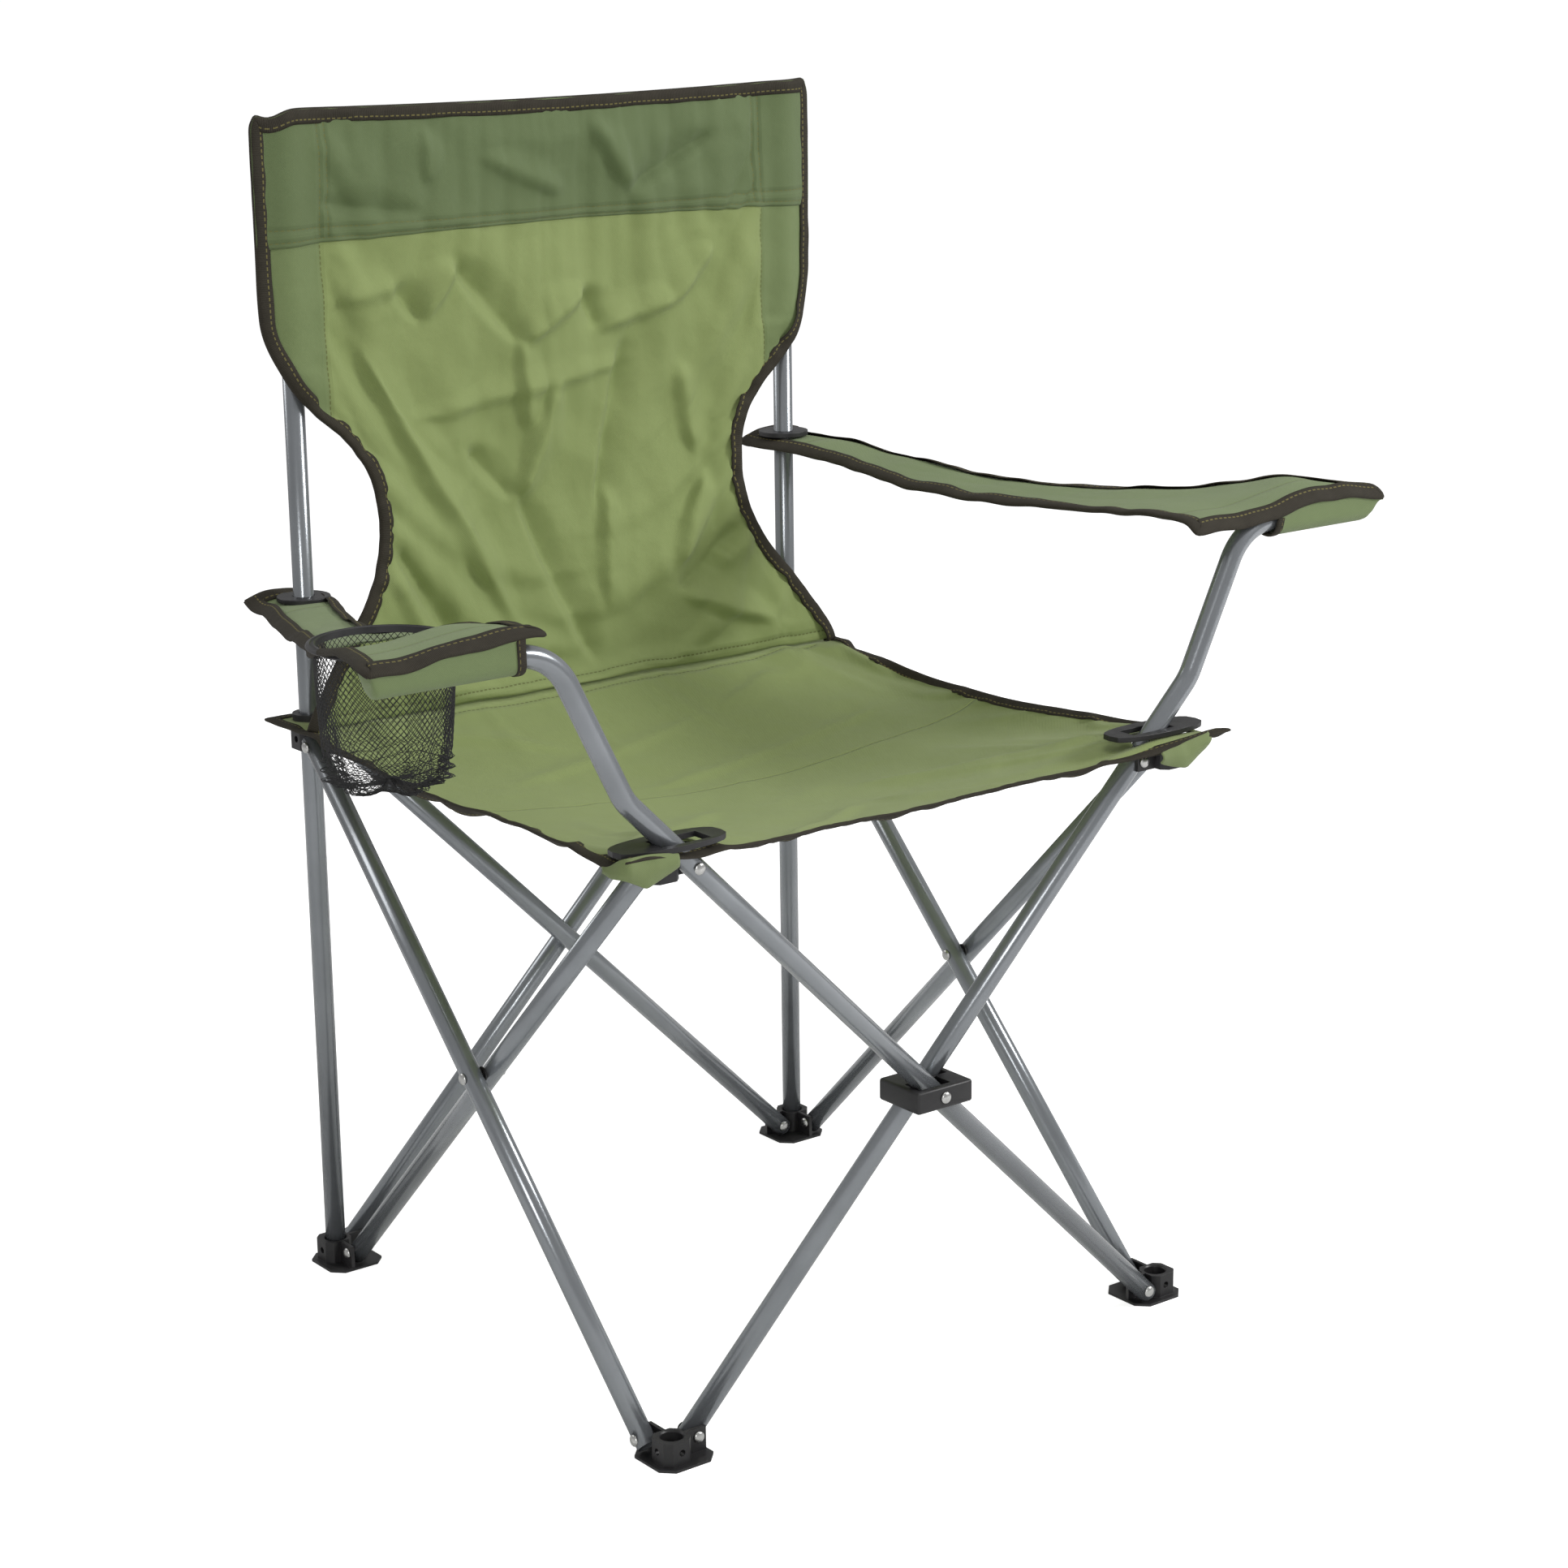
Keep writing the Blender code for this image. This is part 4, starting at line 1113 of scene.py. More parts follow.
    def tapes(self, node: str, body: str, rows: Rows, middle: int) -> list[Piece]:
        """Returns the binding of one half of the seat."""
        last = self.columns
        if node == "seat_front":
            left = [(rows[row][0], rows[row][1]) for row in range(middle, 0, -1)]
            front = rim_of(rows[1::-1], range(last + 1))
            right = [(rows[row][last], rows[row][last - 1]) for row in range(1, middle + 1)]
            front[0] = (rows[0][0], rows[1][1])
            front[-1] = (rows[0][last], rows[1][last - 1])
            return [Tape().piece("seat_front_binding", left + front + right, self.binding, body)]
        found = []
        for side, edge, step in (("left", 0, 1), ("right", last, -1)):
            up = [(rows[row][edge], rows[row][edge + step]) for row in range(middle, 2 * middle)]
            back = rim_of(rows, range(edge, edge + step * self.patch[0], step))
            back[0] = (rows[-1][edge], rows[-2][edge + step])
            name = f"seat_rear_{side}_binding"
            found.append(Tape().piece(name, up + back, self.binding, body))
        return found


def fold_across(piece: Piece) -> None:
    """Gives a cloth piece its own copy of its mesh."""
    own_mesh(piece)


@dataclass
class BackPanel:
    """The back's cloth with its header, the sleeves over the posts and the binding.

    Edge lists heights from the top down, each with half the panel's width there.
    """

    binding: Material
    body: str = "left_post"
    post_x: float = POST_PLACE
    post_y: float = POST_PLACE
    front_of_post: float = 0.0095
    top: float = 0.925
    seam_y: float = 0.197
    header_bottom: float = 0.818
    sleeve_half: float = 0.027
    sleeve_bottom: float = 0.742
    sleeve_width: float = 0.06
    strip_bottom: float = 0.69
    header_lift: float = 0.0016
    header_bow: float = 0.007
    corner_dip: float = 0.007
    top_sag: float = 0.004
    columns: int = 110
    count: int = 104
    seam_rows: int = 8
    creases: tuple[Crease, ...] = Crease.table(
        (-0.190, 0.780, -0.145, 0.785, 0.0060, 0.016),
        (-0.145, 0.785, -0.120, 0.760, -0.0070, 0.015),
        (-0.120, 0.760, -0.090, 0.800, 0.0090, 0.017),
        (-0.090, 0.800, -0.030, 0.735, -0.0090, 0.018),
        (-0.030, 0.735, 0.030, 0.770, 0.0090, 0.018),
        (0.030, 0.770, 0.045, 0.740, -0.0080, 0.015),
        (0.045, 0.740, 0.120, 0.757, 0.0080, 0.016),
        (0.120, 0.757, 0.155, 0.795, 0.0080, 0.016),
        (-0.180, 0.745, -0.057, 0.520, 0.0100, 0.021),
        (-0.165, 0.587, -0.114, 0.510, -0.0095, 0.017),
        (-0.177, 0.570, -0.135, 0.500, 0.0080, 0.014),
        (0.000, 0.700, -0.037, 0.615, 0.0080, 0.018),
        (-0.037, 0.615, 0.020, 0.470, -0.0080, 0.018),
        (0.070, 0.728, 0.037, 0.600, -0.0090, 0.019),
        (0.045, 0.609, 0.035, 0.520, 0.0060, 0.016),
        (0.120, 0.703, 0.134, 0.631, 0.0070, 0.016),
        (0.178, 0.560, 0.143, 0.537, 0.0090, 0.014),
        (0.107, 0.520, 0.178, 0.560, -0.0085, 0.015),
        (0.111, 0.512, 0.190, 0.480, 0.0080, 0.016),
        (0.140, 0.609, 0.103, 0.542, 0.0080, 0.015),
        (-0.130, 0.683, 0.074, 0.712, 0.0045, 0.013),
        (-0.080, 0.654, -0.045, 0.616, -0.0070, 0.014),
        (-0.032, 0.737, -0.027, 0.669, 0.0070, 0.014),
        (-0.115, 0.907, -0.113, 0.866, 0.0060, 0.014),
        (-0.205, 0.852, -0.122, 0.840, -0.0050, 0.013),
        (0.042, 0.906, 0.078, 0.847, 0.0070, 0.015),
        (0.078, 0.847, 0.159, 0.886, -0.0065, 0.015),
        (-0.060, 0.880, 0.010, 0.850, 0.0050, 0.014),
    )
    edge: tuple[tuple[float, float], ...] = (
        (0.925, 0.2575), (0.914, 0.2615), (0.826, 0.2615), (0.765, 0.261), (0.735, 0.252),
        (0.707, 0.235), (0.672, 0.198), (0.646, 0.181), (0.618, 0.1755), (0.590, 0.177),
        (0.555, 0.190), (0.508, 0.225), (0.455, 0.258),
    )

    def half_width(self, height: float) -> float:
        """Returns half the panel's width at a height, eased through the sizes in edge."""
        points = self.edge
        last = len(points) - 1
        index = next((n for n in range(last) if height >= points[n + 1][0]), last - 1)
        (high, wide), (low, narrow) = points[index], points[index + 1]
        share = (height - low) / (high - low)
        above = points[max(index - 1, 0)][1]
        below = points[min(index + 2, last)][1]
        rise = (wide - below) / 2
        run = (above - narrow) / 2
        cube, square = share**3, share**2
        return (
            (2 * cube - 3 * square + 1) * narrow + (cube - 2 * square + share) * rise
            + (3 * square - 2 * cube) * wide + (cube - square) * run
        )

    def depth(self, x: float, height: float) -> float:
        """Returns the cloth's place in Y: over the posts above, curving forwards to the seam."""
        over_post = self.post_y - self.front_of_post
        fall = 1 - smooth_step((height - SEAM_HEIGHT) / 0.3) ** 0.7
        y = over_post - (over_post - self.seam_y) * fall
        upper = smooth_step((height - 0.70) / 0.06)
        off_post = 1 - math.exp(-(((abs(x) - self.post_x) / 0.017) ** 2))
        slack = 0.006 if abs(x) < self.post_x else 0.009
        return y + upper * slack * off_post

    def points(self, seat: Rows) -> tuple[Rows, Flats]:
        """Returns the panel's grid points and flat places, from the seam up."""
        seam = seat[-1]
        rows: Rows = []
        flats: Flats = []
        for row in range(self.count + 1):
            share = row / self.count
            line, flat = [], []
            for column in range(self.columns + 1):
                spread = 2 * column / self.columns - 1
                height = SEAM_HEIGHT + (self.top - SEAM_HEIGHT) * share
                x = spread * self.half_width(height)
                dip = self.corner_dip * math.exp(-(((x + 0.249) / 0.011) ** 2))
                dip *= smooth_step((share - 0.9) * 10)
                sag = self.top_sag * (1 - spread**2) * smooth_step((share - 0.8) * 5)
                y = self.depth(x, height)
                ripple = 0.0012 * noise.noise(Vector((x * 14, height * 14, 4.1)))
                place = Vector((x, y + ripple * (1 - share * 0.6), height - dip - sag))
                if row < self.seam_rows:
                    low = min(seam, key=lambda point: abs(point.x - x)).z
                    place.z += (low + 0.0010 - SEAM_HEIGHT) * (1 - row / self.seam_rows)
                    if abs(x) > 0.2:
                        place.y = self.seam_y + (place.y - self.seam_y) * row / self.seam_rows
                line.append(place)
                flat.append((x, height))
            rows.append(line)
            flats.append(flat)
        return rows, flats

    def freedom(self, row: int, column: int) -> float:
        """Returns how freely the cloth crumples here: none at its edges, less over the posts."""
        from_edge = min(column, self.columns - column)
        free = min(max(from_edge - 2, 0) / 5, 1) * min(row / 7, 1)
        free *= min(max(self.count - row - 2, 0) / 5, 1)
        if row / self.count > 0.58:
            free *= 0.12 + 0.88 * smooth_step((from_edge - 8) / 4)
        return free * (1.1 if row / self.count > 0.77 else 1)

    def held(self, row: int, column: int) -> bool:
        """Tells whether the panel is held at this grid point: its seam, edges and post strips."""
        share = row / self.count
        from_edge = min(column, self.columns - column)
        strip = share > 0.6 and from_edge < 12
        return row in (0, self.count) or from_edge == 0 or strip

    def build(self, seat: Rows) -> None:
        """Builds the panel, header, sleeves and binding, sewn to the seat's rear edge."""
        rows, flats = self.points(seat)
        rows = Settling(slack=0.014, frames=24).settle(rows, self.held)
        rows = Crumple(0.0095, 0.062, self.creases).press(rows, flats, self.freedom)
        lines = (
            StitchLine(False, -self.strip, self.strip_bottom, self.top),
            StitchLine(False, self.strip, self.strip_bottom, self.top),
            StitchLine(True, SEAM_HEIGHT + 0.008, -0.25, 0.25),
        )
        cloth = OxfordCloth("back_oxford_cloth", lines=lines, crease=0.0018,
                            doubled=(self.strip, 0.675)).material()
        panel = cloth_piece("back_panel_cloth", rows, flats, cloth, self.body, ["back_panel"])
        header = self.header(rows, flats)
        sleeves = [self.sleeve(side) for side in Side]
        tape = self.tape(rows)
        for part in (panel, header, *sleeves, tape):
            fold_across(part)

    @property
    def strip(self) -> float:
        """The place in X of the stitch rows beside the posts."""
        return self.post_x - self.sleeve_half

    def header(self, rows: Rows, flats: Flats) -> Piece:
        """Builds the doubled band across the top, just proud of the panel."""
        start = next(n for n, flat in enumerate(flats) if flat[0][1] >= self.header_bottom)
        normals = normals_of(rows)
        band: Rows = []
        for row in range(start, len(rows)):
            lift = self.header_lift - (0 if row > start else 0.0005)
            band.append([p + n * lift for p, n in zip(rows[row], normals[row])])
        for row in range(3):
            for column, point in enumerate(band[row]):
                bow = self.header_bow * (1 - (2 * column / self.columns - 1) ** 2)
                point.z += bow * (1 - row / 3)
        hem, wide, strip = self.header_bottom + 0.007, 0.262, self.strip
        cloth = OxfordCloth(
            "header_oxford_cloth", colour=(0.124, 0.170, 0.068, 1), shade=(0.089, 0.124, 0.049, 1),
            crease=0.0012, lines=(
                StitchLine(True, hem, -wide, wide), StitchLine(True, hem + 0.010, -wide, wide),
                *(StitchLine(False, x, hem, self.top)
                  for x in (-strip, strip, -strip + 0.007, strip - 0.007)),
            ),
        ).material()
        piece = cloth_piece("back_header_cloth", band, flats[start:], cloth, self.body)
        return piece

    def sleeve(self, side: Side) -> Piece:
        """Builds the rear layer of the sleeve over a post."""
        rows: Rows = []
        flats: Flats = []
        last = 30
        for step in range(last + 1):
            rise = (self.top - 0.0055 - self.sleeve_bottom) * min(step / (last - 1), 1)
            height = self.sleeve_bottom + rise + (0.0025 if step == last else 0)
            low = 0.008 * smooth_step((step - 20) / 8) if side is Side.LEFT else 0.002
            reach = self.half_width(height) - 0.004 - self.post_x
            line, flat = [], []
            for part in range(21):
                share = part / 20
                x = self.strip + (self.sleeve_half + reach) * share
                bulge = math.exp(-(((x - self.post_x) / 0.014) ** 2))
                y = self.post_y - 0.001 + 0.0115 * bulge
                pull = y - self.depth(x, height) - 0.0012 if step == last else 0
                crease = 0.0012 * noise.noise(Vector((x * 60, height * 18, side.value)))
                dip = low * math.exp(-(((x - 0.246) / 0.014) ** 2))
                line.append(Vector((side.value * x, y - pull + crease, height - dip)))
                flat.append((x, height))
            rows.append(line)
            flats.append(flat)
        stitches = StitchLine(False, self.strip + 0.003, 0.74, self.top)
        cloth = OxfordCloth("sleeve_oxford_cloth", lines=(stitches,)).material()
        name = side.name.lower()
        piece = cloth_piece(f"post_sleeve_{name}", rows, flats, cloth, self.body, rounded=False)
        flat = (self.sleeve_width, self.top - self.sleeve_bottom)
        return piece

    def tape(self, rows: Rows) -> Piece:
        """Builds the binding up one side, across the top and down the other side."""
        last = self.columns
        left = [(rows[row][0], rows[row][1]) for row in range(self.count)]
        top = rim_of(rows, range(last + 1))
        right = [(rows[row][last], rows[row][last - 1]) for row in range(self.count - 1, -1, -1)]
        top[0] = (rows[-1][0], rows[-2][1])
        top[-1] = (rows[-1][last], rows[-2][last - 1])
        tape = Tape(width=0.0105, proud=0.0030)
        return tape.piece("back_binding", left + top + right, self.binding, self.body)


@dataclass
class Armrest:
    """A cloth armrest slung from a post to a sleeve over the front tube's bar.

    The strip leaves its post at rear_height, bows sideways by bow and ends round front_x, where it
    is front_half wide on each side. Hump is the place and the height of its rise over the bar, and
    lip is how far its front edge hangs.
    """

    binding: Material
    side: Side
    body: str
    node: str
    rear_height: float
    bow: float
    front_x: float
    front_half: float
    hump: tuple[float, float]
    lip: float
    rear_half: float = 0.031
    post: float = POST_PLACE
    rear_x: float = 0.240
    bar_x: float = 0.391
    behind_post: float = 0.027
    sag: float = 0.010
    bar_radius: float = 0.0098
    front_lip: float = 0.012
    sleeve_start: float = 0.350
    seam_behind_bar: float = 0.026
    strip_flat: tuple[float, float] = (0.15, 0.53)
    sleeve_flat: tuple[float, float] = (0.15, 0.075)
    rear_curl: float = 0.005
    rear_lift: float = 0.008
    lip_wave: float = 0.0035
    ripple: float = 0.0022
    steps_down: int = 4
    steps_round: int = 13
    steps_back: int = 5
    cup_hole: float = 0.0485
    columns: int = 32
    count: int = 90

    @property
    def name(self) -> str:
        """The start of the armrest's names."""
        return f"armrest_{self.side.name.lower()}"

    @property
    def tube(self) -> str:
        """The CAD node whose bar carries the armrest."""
        return f"{self.body}_tube"

    @property
    def bar(self) -> Vector:
        """The middle of the bar inside the sleeve."""
        low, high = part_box(self.tube)
        return Vector((self.side.value * self.bar_x, (low.y + high.y) / 2, high.z - 0.008))

    def middle(self, y: float) -> tuple[float, float, float]:
        """Returns the strip's middle in X, its height and half its width at this y."""
        bar = self.bar
        along = min(max((self.post - y) / (self.post - bar.y), 0), 1)
        x = self.rear_x + (self.front_x - self.rear_x) * along
        x += self.bow * math.sin(math.pi * along) ** 2
        spread = smooth_step((along - 0.35) / 0.45) if self.side is Side.LEFT else along**2.6
        half = self.rear_half + (self.front_half - self.rear_half) * spread
        over = bar.z + self.bar_radius
        height = self.rear_height + (over - self.rear_height) * smooth_step(along)
        height -= self.sag * math.sin(math.pi * along) ** 2
        return self.side.value * x, height, half

    def points(self) -> tuple[Rows, Flats]:
        """Returns the strip's grid points and flat places, from the rear end over the bar."""
        bar = self.bar
        start = self.post + self.behind_post
        end = bar.y - self.front_lip
        rows: Rows = []
        flats: Flats = []
        for row in range(self.count + 1):
            y = start + (end - start) * row / self.count
            x, height, half = self.middle(y)
            past = max(bar.y - y, 0) / self.front_lip
            along = min(max((self.post - y) / (self.post - bar.y), 0), 1)
            height -= self.lip * past**2
            behind = max(y - self.post - 0.012, 0) / self.behind_post
            line, flat = [], []
            for column in range(self.columns + 1):
                spread = 2 * column / self.columns - 1
                curl = self.rear_curl * abs(spread) ** 3 * (1 - smooth_step(along))
                out = x + spread * half - self.side.value * self.hump[0]
                rise = self.hump[1] * math.exp(-((out / 0.045) ** 2))
                rise *= smooth_step((along - 0.72) / 0.2)
                lift = self.rear_lift * behind**1.5 * (1 + spread * self.side.value * 0.6)
                at = x + spread * half
                wave = self.lip_wave * past * noise.noise(Vector((at, 0, 9)) * 28)
                ripple = self.ripple * noise.noise(Vector((at, y, 2.3)) * 26)
                line.append(Vector((at, y, height - curl + lift + wave + ripple + rise)))
                flat.append((spread * half, y))
            rows.append(line)
            flats.append(flat)
        return rows, flats

    def freedom(self, row: int, column: int) -> float:
        """Returns how freely the strip crumples here: none at the post and over the bar."""
        return min(max(row - 14, 0) / 8, 1) * min(max(self.count - 12 - row, 0) / 8, 1)

    def hole(self, face: Face) -> bool:
        """Tells whether a face lies where the post or the cup ring goes through."""
        centre = face.calc_center_median()
        x = abs(centre.x)
        if math.hypot(x - self.post, centre.y - self.post) < POST_HOLE:
            return True
        if self.side is Side.RIGHT:
            return False
        cup = middle_of("cup_ring")
        return math.hypot(centre.x - cup.x, centre.y - cup.y) < self.cup_hole

    def build(self) -> None:
        """Builds the strip, the sleeve under the bar and the binding."""
        rows, flats = self.points()
        rows = Crumple(0.0035, 0.05).press(rows, flats, self.freedom)
        seam = self.bar.y + self.seam_behind_bar
        cloth = OxfordCloth(
            f"{self.name}_oxford_cloth", colour=(0.172, 0.228, 0.094, 1),
            shade=(0.124, 0.168, 0.068, 1),
            lines=(StitchLine(True, seam, -0.09, 0.09), StitchLine(True, 0.200, -0.05, 0.05)),
        ).material()
        strip = cloth_piece(f"{self.name}_cloth", rows, flats, cloth, self.body, [self.node],
                            self.hole)
        under = self.under(rows, cloth)
        tape = self.edging(rows)
        self.tube
        for part in (strip, *under, tape):
            self.fold(part)

    def edging(self, rows: Rows) -> Piece:
        """Builds the binding all round the strip, clear of the cup ring."""
        last = self.columns
        left = [(line[0], line[1]) for line in rows]
        right = [(line[last], line[last - 1]) for line in reversed(rows)]
        edge = left[:-1] + [(rows[-1][0], rows[-2][1])] + rim_of(rows, range(1, last))
        edge += [(rows[-1][last], rows[-2][last - 1])] + right[1:-1]
        edge += [(rows[0][last], rows[1][last - 1])] + rim_of(rows[1::-1], range(last - 1, 0, -1))
        edge += [(rows[0][0], rows[1][1])]
        cup = middle_of("cup_ring")
        clear_of = (cup.x, cup.y, 0.0455) if self.side is Side.LEFT else None
        tape = Tape(width=0.012, proud=0.0022, wave=0.0013, beyond=0.003, clear_of=clear_of)
        return tape.piece(f"{self.name}_binding", edge, self.binding, self.body)

    def wrapped(self, step: int, lip: Vector, seam: Vector) -> tuple[float, float]:
        """Returns Y and Z of a step of the sleeve: down from the lip, under the bar, to the seam."""
        bar = self.bar
        reach = self.bar_radius + 0.0006
        if step < self.steps_down:
            share = step / self.steps_down
            return lip.y + (bar.y - reach - lip.y) * share, lip.z + (bar.z - lip.z) * share**1.5
        if step <= self.steps_down + self.steps_round:
            turn = math.pi * (step - self.steps_down) / self.steps_round
            return bar.y - reach * math.cos(turn), bar.z - reach * math.sin(turn)
        share = (step - self.steps_down - self.steps_round) / self.steps_back
        y = bar.y + reach + (seam.y - bar.y - reach) * share
        return y, bar.z + (seam.z - bar.z) * share**0.8

    def under(self, rows: Rows, cloth: Material) -> list[Piece]:
        """Builds the layer that goes round below the bar, from the lip back to its seam."""
        bar = self.bar
        seam_y = bar.y + self.seam_behind_bar
        seam_row = next(n for n, line in enumerate(rows) if line[0].y < seam_y)
        used = [c for c in range(self.columns + 1) if abs(rows[-1][c].x) >= self.sleeve_start]
        last = used[0] if self.side is Side.LEFT else used[-1]
        steps = self.steps_down + self.steps_round + self.steps_back
        found: Rows = []
        flats: Flats = []
        for step in range(steps + 1):
            line, flat = [], []
            for column in used:
                lip, seam = rows[-1][column], rows[seam_row][column]
                y, z = self.wrapped(step, lip, seam)
                if column == last:
                    z = lip.z + (seam.z - lip.z) * step / steps
                line.append(Vector((lip.x + (seam.x - lip.x) * step / steps, y, z - 0.0010)))
                flat.append((lip.x - bar.x, bar.y - 0.04 + 0.003 * step))
            found.append(line)
            flats.append(flat)
        piece = cloth_piece(f"{self.name}_sleeve", found, flats, cloth, self.body)
        inner, inwards = (-1, -1) if self.side is Side.LEFT else (0, 1)
        mouth = [(line[inner], line[inner + inwards]) for line in found]
        tape = Tape(width=0.006, proud=0.0010, wave=0.0004).piece(
            f"{self.name}_sleeve_binding", mouth, self.binding, self.body
        )
        self.tube
        return [piece, tape]

    def folded(self, ring: Vector) -> Vector:
        """Returns where a ring at this place stands beside the bar once the chair is folded."""
        side = self.side.name.lower()
        turn = -self.side.value * math.radians(joint("fold")["range_deg"][1])
        centre = Vector(joint(f"{side}_arm_pivot")["pos_m"])
        spread = joint("rear_right_foot_pivot")["pos_m"]
        closing = 2 * spread[0] * (1 - math.cos(FOLDED_SLOPE) / math.cos(OPEN_SLOPE))
        slide = joint(f"{side}_arm_ring_slide")["range_m"][1]
        lifted = joint("left_arm_pivot")["pos_m"][2] - joint("right_arm_pivot")["pos_m"][2]
        lifted = abs(lifted) * (math.sin(FOLDED_SLOPE) / math.sin(OPEN_SLOPE) - 1)
        goal = ring + Vector((0, -closing, slide - lifted))
        return centre + Matrix.Rotation(-turn, 3, "Y") @ (goal - centre)

    def fold(self, piece: Piece) -> None:
        """Works out how far the ring moves as the chair folds, which nothing uses, and gives the piece its own
        copy of its mesh.
        """
        ring = Vector((self.side.value * self.post, self.post, self.rear_height))
        move = self.folded(ring) - ring
        anchor = self.bar
        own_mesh(piece)


@dataclass
class CupHolder:
    """The flanged ring in the left armrest and the net bag that hangs from it.

    Below bunched_from the net's rows come closer together, by the share bunching; past depth it
    closes to its middle, over the share closing of the depth.
    """

    plastic: Material
    net: Material
    body: str = "cup_holder"
    cells_round: int = 64
    cell_height: float = 0.0026
    yarn: float = 0.0007
    radius: float = 0.0468
    depth: float = 0.090
    bunched_from: float = 0.070
    bunching: float = 0.55
    closing: float = 0.42
    flat: tuple[float, float] = (0.30, 0.14)
    area: float = 0.0126

    def ring(self) -> None:
        """Builds the ring: a flange, a step and a lower lip."""
        low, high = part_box("cup_ring")
        outer = (high.x - low.x) / 2
        inner = outer - 0.0068
        rise = (high.z - low.z) / 2
        profile = [
            (inner, -rise), (inner + 0.0018, -rise), (inner + 0.0022, -rise * 0.3),
            (outer - 0.0006, -rise * 0.2), (outer, 0.0), (outer - 0.0006, rise * 0.6),
            (outer - 0.003, rise * 0.9), (outer - 0.0036, rise * 0.62), (inner + 0.0016, rise * 0.7),
            (inner + 0.0010, rise), (inner, rise * 0.8), (inner, -rise),
        ]
        shape = spun_shape(profile, 72)
        bmesh.ops.translate(shape, vec=(low + high) / 2, verts=shape.verts)
        make_piece("cup_ring_moulded", shape, self.plastic, self.body,
                   ["cup_ring"], 25)

    def place(self, turn: float, depth: float, centre: Vector, top: float) -> Vector:
        """Returns a point of the bag at a turn round it and a depth below the ring, in metres."""
        if depth > self.bunched_from:
            depth = self.bunched_from + (depth - self.bunched_from) * self.bunching
        share = depth / self.depth
        down = min(share, 1)
        radius = self.radius * (1 - 0.20 * down**2)
        folds = 0.0035 * down**2 * math.sin(7 * turn + 1.3)
        folds += 0.002 * math.sin(17 * turn + 0.4) * down**3
        bunched = math.sin(depth * 900 + 3 * math.sin(3 * turn))
        folds += 0.0035 * smooth_step((share - 0.75) / 0.15) * bunched
        height = top - depth
        if share > 1:
            inward = min((share - 1) / self.closing, 1)
            radius *= 1 - inward
            height = top - self.depth - 0.004 * math.sin(math.pi * inward)
            folds *= 1 - inward
        radius += folds
        height += 0.0015 * math.sin(5 * turn) * share
        x, y = centre.x + radius * math.cos(turn), centre.y + radius * math.sin(turn)
        return Vector((x, y, height))

    def bag(self) -> None:
        """Builds the net as a lattice of thin yarn."""
        low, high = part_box("cup_pocket")
        centre = (low + high) / 2
        around = self.cells_round
        past = self.depth * (1 + self.closing) - self.bunched_from
        reach = int((self.bunched_from + past / self.bunching) / self.cell_height)
        size = around + reach
        shape = bmesh.new()
        bmesh.ops.create_grid(shape, x_segments=size, y_segments=size, size=0.5)
        gone = []
        for vertex in shape.verts:
            first = round((vertex.co.x + 0.5) * size)
            second = round((vertex.co.y + 0.5) * size) - around
            step = first - second
            level = first + second
            if 0 <= level <= reach and 0 <= step <= 2 * around:
                turn = math.pi * step / around
                vertex.co = self.place(turn, level * self.cell_height, centre, high.z)
            else:
                gone.append(vertex)
        bmesh.ops.delete(shape, geom=gone, context="VERTS")
        bmesh.ops.remove_doubles(shape, verts=shape.verts, dist=0.0004)
        piece = make_piece("cup_net_bag", shape, self.net, self.body, ["cup_pocket"], 180)
        yarn = piece.modifiers.new("yarn", "WIREFRAME")
        yarn.thickness = self.yarn
        yarn.use_even_offset = False
        yarn.use_boundary = True

    def build(self) -> None:
        """Builds the ring and its bag."""
        self.ring()
        self.bag()


# ---------------------------------------------------------------- studio


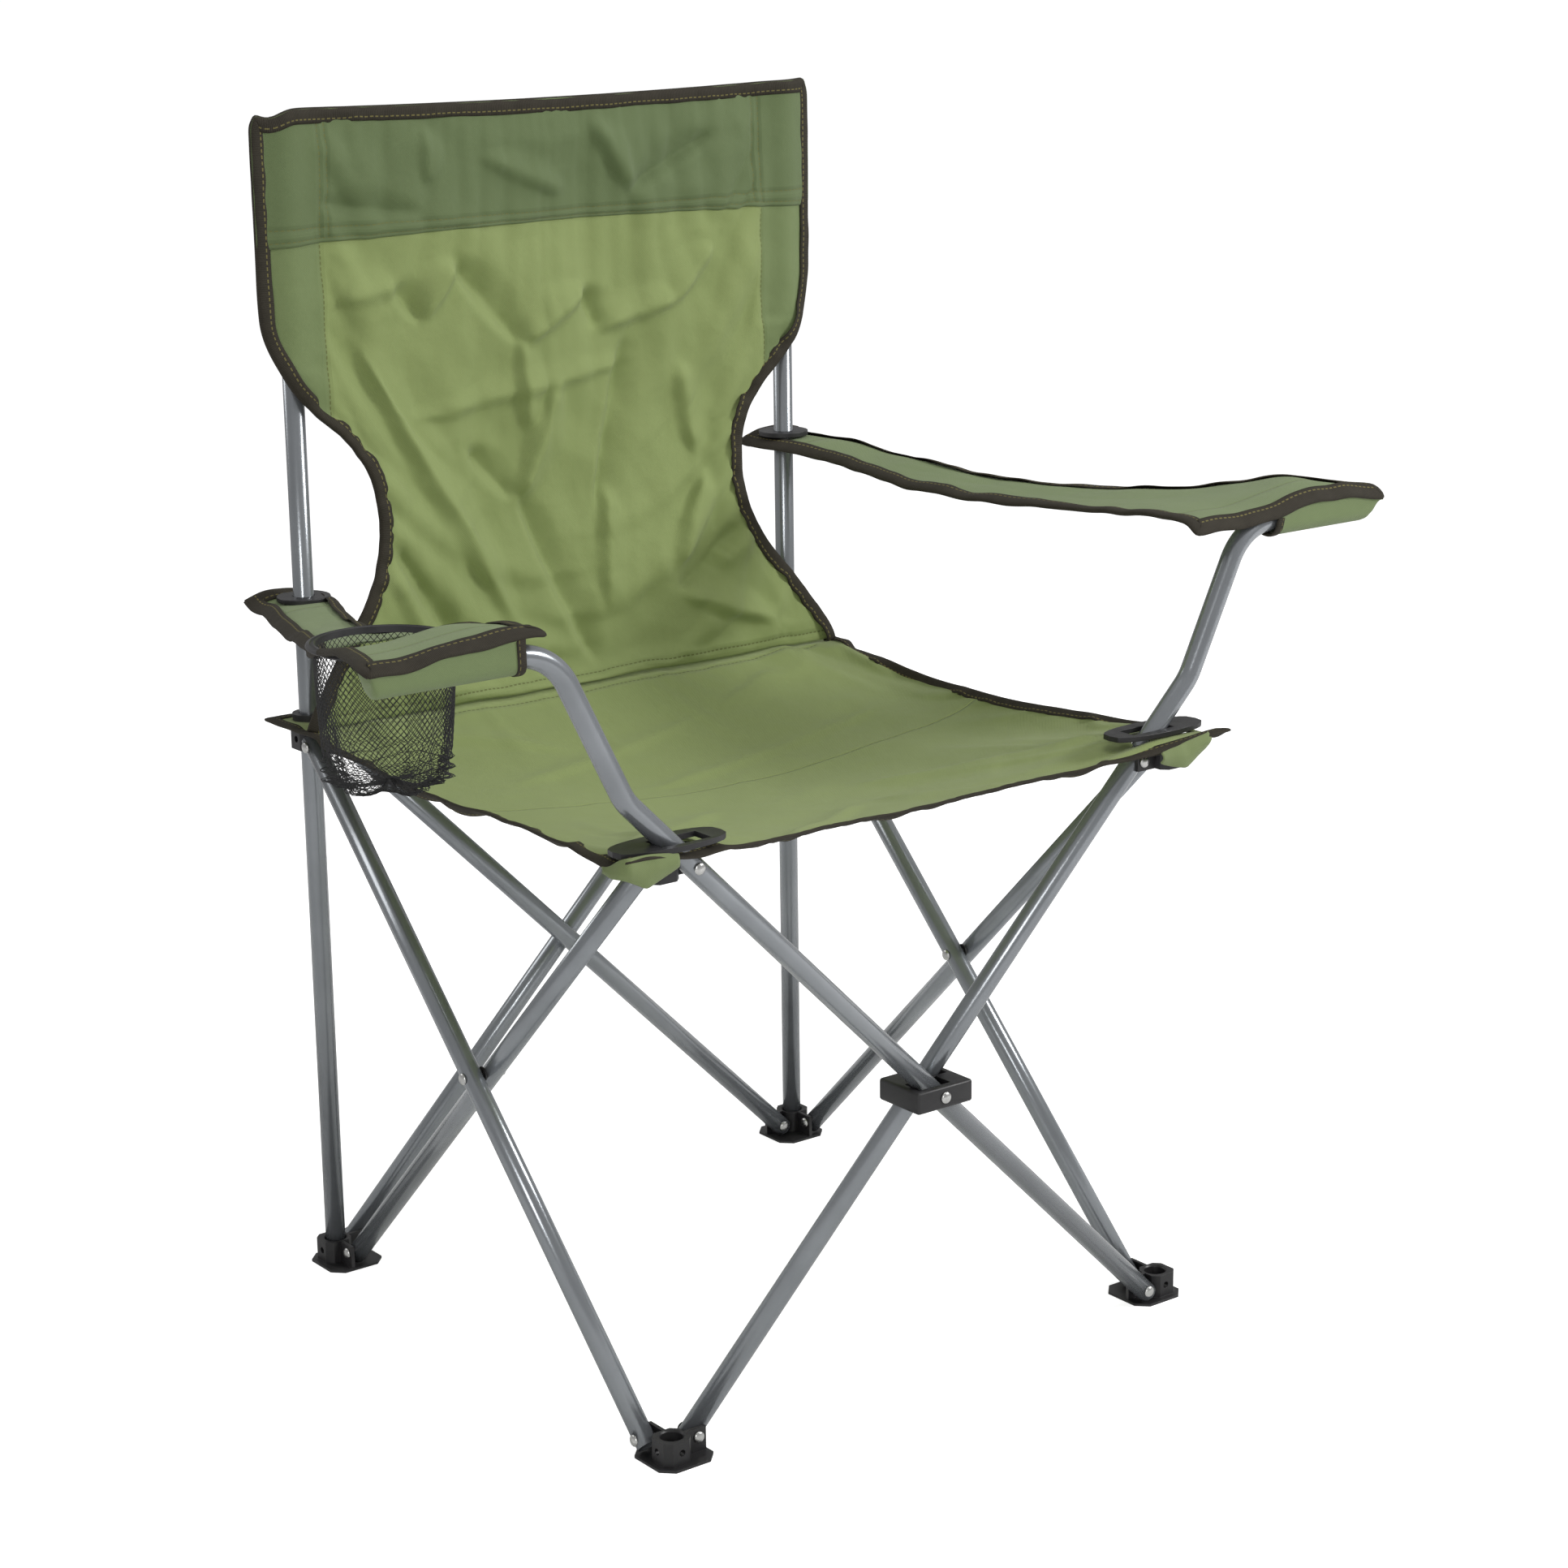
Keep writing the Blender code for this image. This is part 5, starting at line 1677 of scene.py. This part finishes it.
@dataclass
class Studio:
    """A pale floor, soft lamps and the camera.

    The floor and the room are brighter to the camera than the light that they give, so the ground
    shows white. Each lamp has a name, a place, a share of lamp_power and a size.
    """

    camera_place: tuple[float, float, float] = (-1.5034, -2.0405, 1.0888)
    azimuth: float = -37.314
    pitch: float = 15.011
    roll: float = -0.732
    lens: float = 77.86
    sensor: float = 36
    floor_half: float = 90
    floor_glow: float = 0.68
    room_light: float = 0.40
    room_shown: float = 1.00
    lamp_power: float = 26.0
    lamps: tuple[tuple[str, tuple[float, float, float], float, float], ...] = (
        ("key_lamp", (2.3, -2.1, 2.2), 2.7, 0.8),
        ("fill_lamp", (-2.6, -2.6, 1.5), 1.0, 1.0),
        ("top_lamp", (0.2, -0.3, 2.9), 0.62, 1.6),
        ("rear_lamp", (-1.6, 2.6, 2.4), 0.8, 1.4),
    )

    def floor(self) -> None:
        """Builds the floor."""
        shape = bmesh.new()
        bmesh.ops.create_grid(shape, x_segments=1, y_segments=1, size=self.floor_half)
        mesh = bpy.data.meshes.new("floor")
        shape.to_mesh(mesh)
        shape.free()
        shader = Shader("pale_floor")
        seen = shader.tree.nodes.new("ShaderNodeLightPath").outputs["Is Camera Ray"]
        shader.set(Base_Color=(0.86, 0.86, 0.86, 1), Roughness=0.9, Specular_IOR_Level=0.0,
                   Emission_Color=(1, 1, 1, 1),
                   Emission_Strength=shader.math("MULTIPLY", seen, self.floor_glow))
        mesh.materials.append(shader.material)
        floor = bpy.data.objects.new("floor", mesh)
        bpy.context.scene.collection.objects.link(floor)

    def world(self) -> None:
        """Lights the room softly and shows it white."""
        world = bpy.data.worlds.new("studio")
        bpy.context.scene.world = world
        world.use_nodes = True
        tree = world.node_tree
        ground = tree.nodes["Background"]
        path = tree.nodes.new("ShaderNodeLightPath")
        strength = tree.nodes.new("ShaderNodeMath")
        strength.operation = "MULTIPLY_ADD"
        strength.inputs[1].default_value = self.room_shown - self.room_light
        strength.inputs[2].default_value = self.room_light
        tree.links.new(path.outputs["Is Camera Ray"], strength.inputs[0])
        tree.links.new(strength.outputs[0], ground.inputs["Strength"])
        ground.inputs["Color"].default_value = (1, 1, 1, 1)

    def lamp(self, name: str, place: Sequence[float], power: float, size: float) -> None:
        """Hangs a square lamp that faces the chair."""
        data = bpy.data.lights.new(name, "AREA")
        data.energy = power
        data.size = size
        lamp = bpy.data.objects.new(name, data)
        lamp.location = place
        aim = Vector((0, 0, 0.5)) - Vector(place)
        lamp.rotation_mode = "QUATERNION"
        lamp.rotation_quaternion = aim.to_track_quat("-Z", "Y")
        bpy.context.scene.collection.objects.link(lamp)

    def camera(self) -> None:
        """Stands the camera where the chair was seen from."""
        azimuth, pitch, roll = (math.radians(v) for v in (self.azimuth, self.pitch, self.roll))
        forward = Vector((-math.sin(azimuth) * math.cos(pitch),
                          math.cos(azimuth) * math.cos(pitch), -math.sin(pitch)))
        right = forward.cross(Vector((0, 0, 1))).normalized()
        up = right.cross(forward)
        level = right * math.cos(roll) + up * math.sin(roll)
        above = up * math.cos(roll) - right * math.sin(roll)
        data = bpy.data.cameras.new("camera")
        data.sensor_width = self.sensor
        data.lens = self.lens
        camera = bpy.data.objects.new("camera", data)
        turn = Matrix((level, above, -forward)).transposed().to_4x4()
        camera.matrix_world = Matrix.Translation(self.camera_place) @ turn
        bpy.context.scene.collection.objects.link(camera)
        bpy.context.scene.camera = camera

    def build(self) -> None:
        """Builds the floor, lamps and camera and sets plain colour handling."""
        bpy.context.scene.view_settings.view_transform = "Standard"
        self.camera()
        self.floor()
        self.world()
        for name, place, power, size in self.lamps:
            self.lamp(name, place, self.lamp_power * power, size)


def main() -> None:
    """Builds the chair's looks and the studio."""
    Studio().build()
    steel = PaintedSteel().material()
    plastic = MouldedPlastic().material()
    zinc = ZincPlate().material()
    binding = BindingTape().material()
    TubeFrame(steel).build()
    Fittings(plastic, zinc).build()
    seat = Seat(binding).build()
    BackPanel(binding).build(seat)
    Armrest(
        binding, Side.LEFT, "front_outer", "armrest_left", rear_height=0.550, bow=0.006,
        front_x=0.4005, front_half=0.0665, hump=(0.365, 0.008), lip=0.003,
    ).build()
    Armrest(
        binding, Side.RIGHT, "front_inner", "armrest_right", rear_height=0.627, bow=-0.034,
        front_x=0.364, front_half=0.102, hump=(0.410, 0.011), lip=0.007,
    ).build()
    CupHolder(plastic, NetCord().material()).build()


if __name__ == "__main__":
    main()
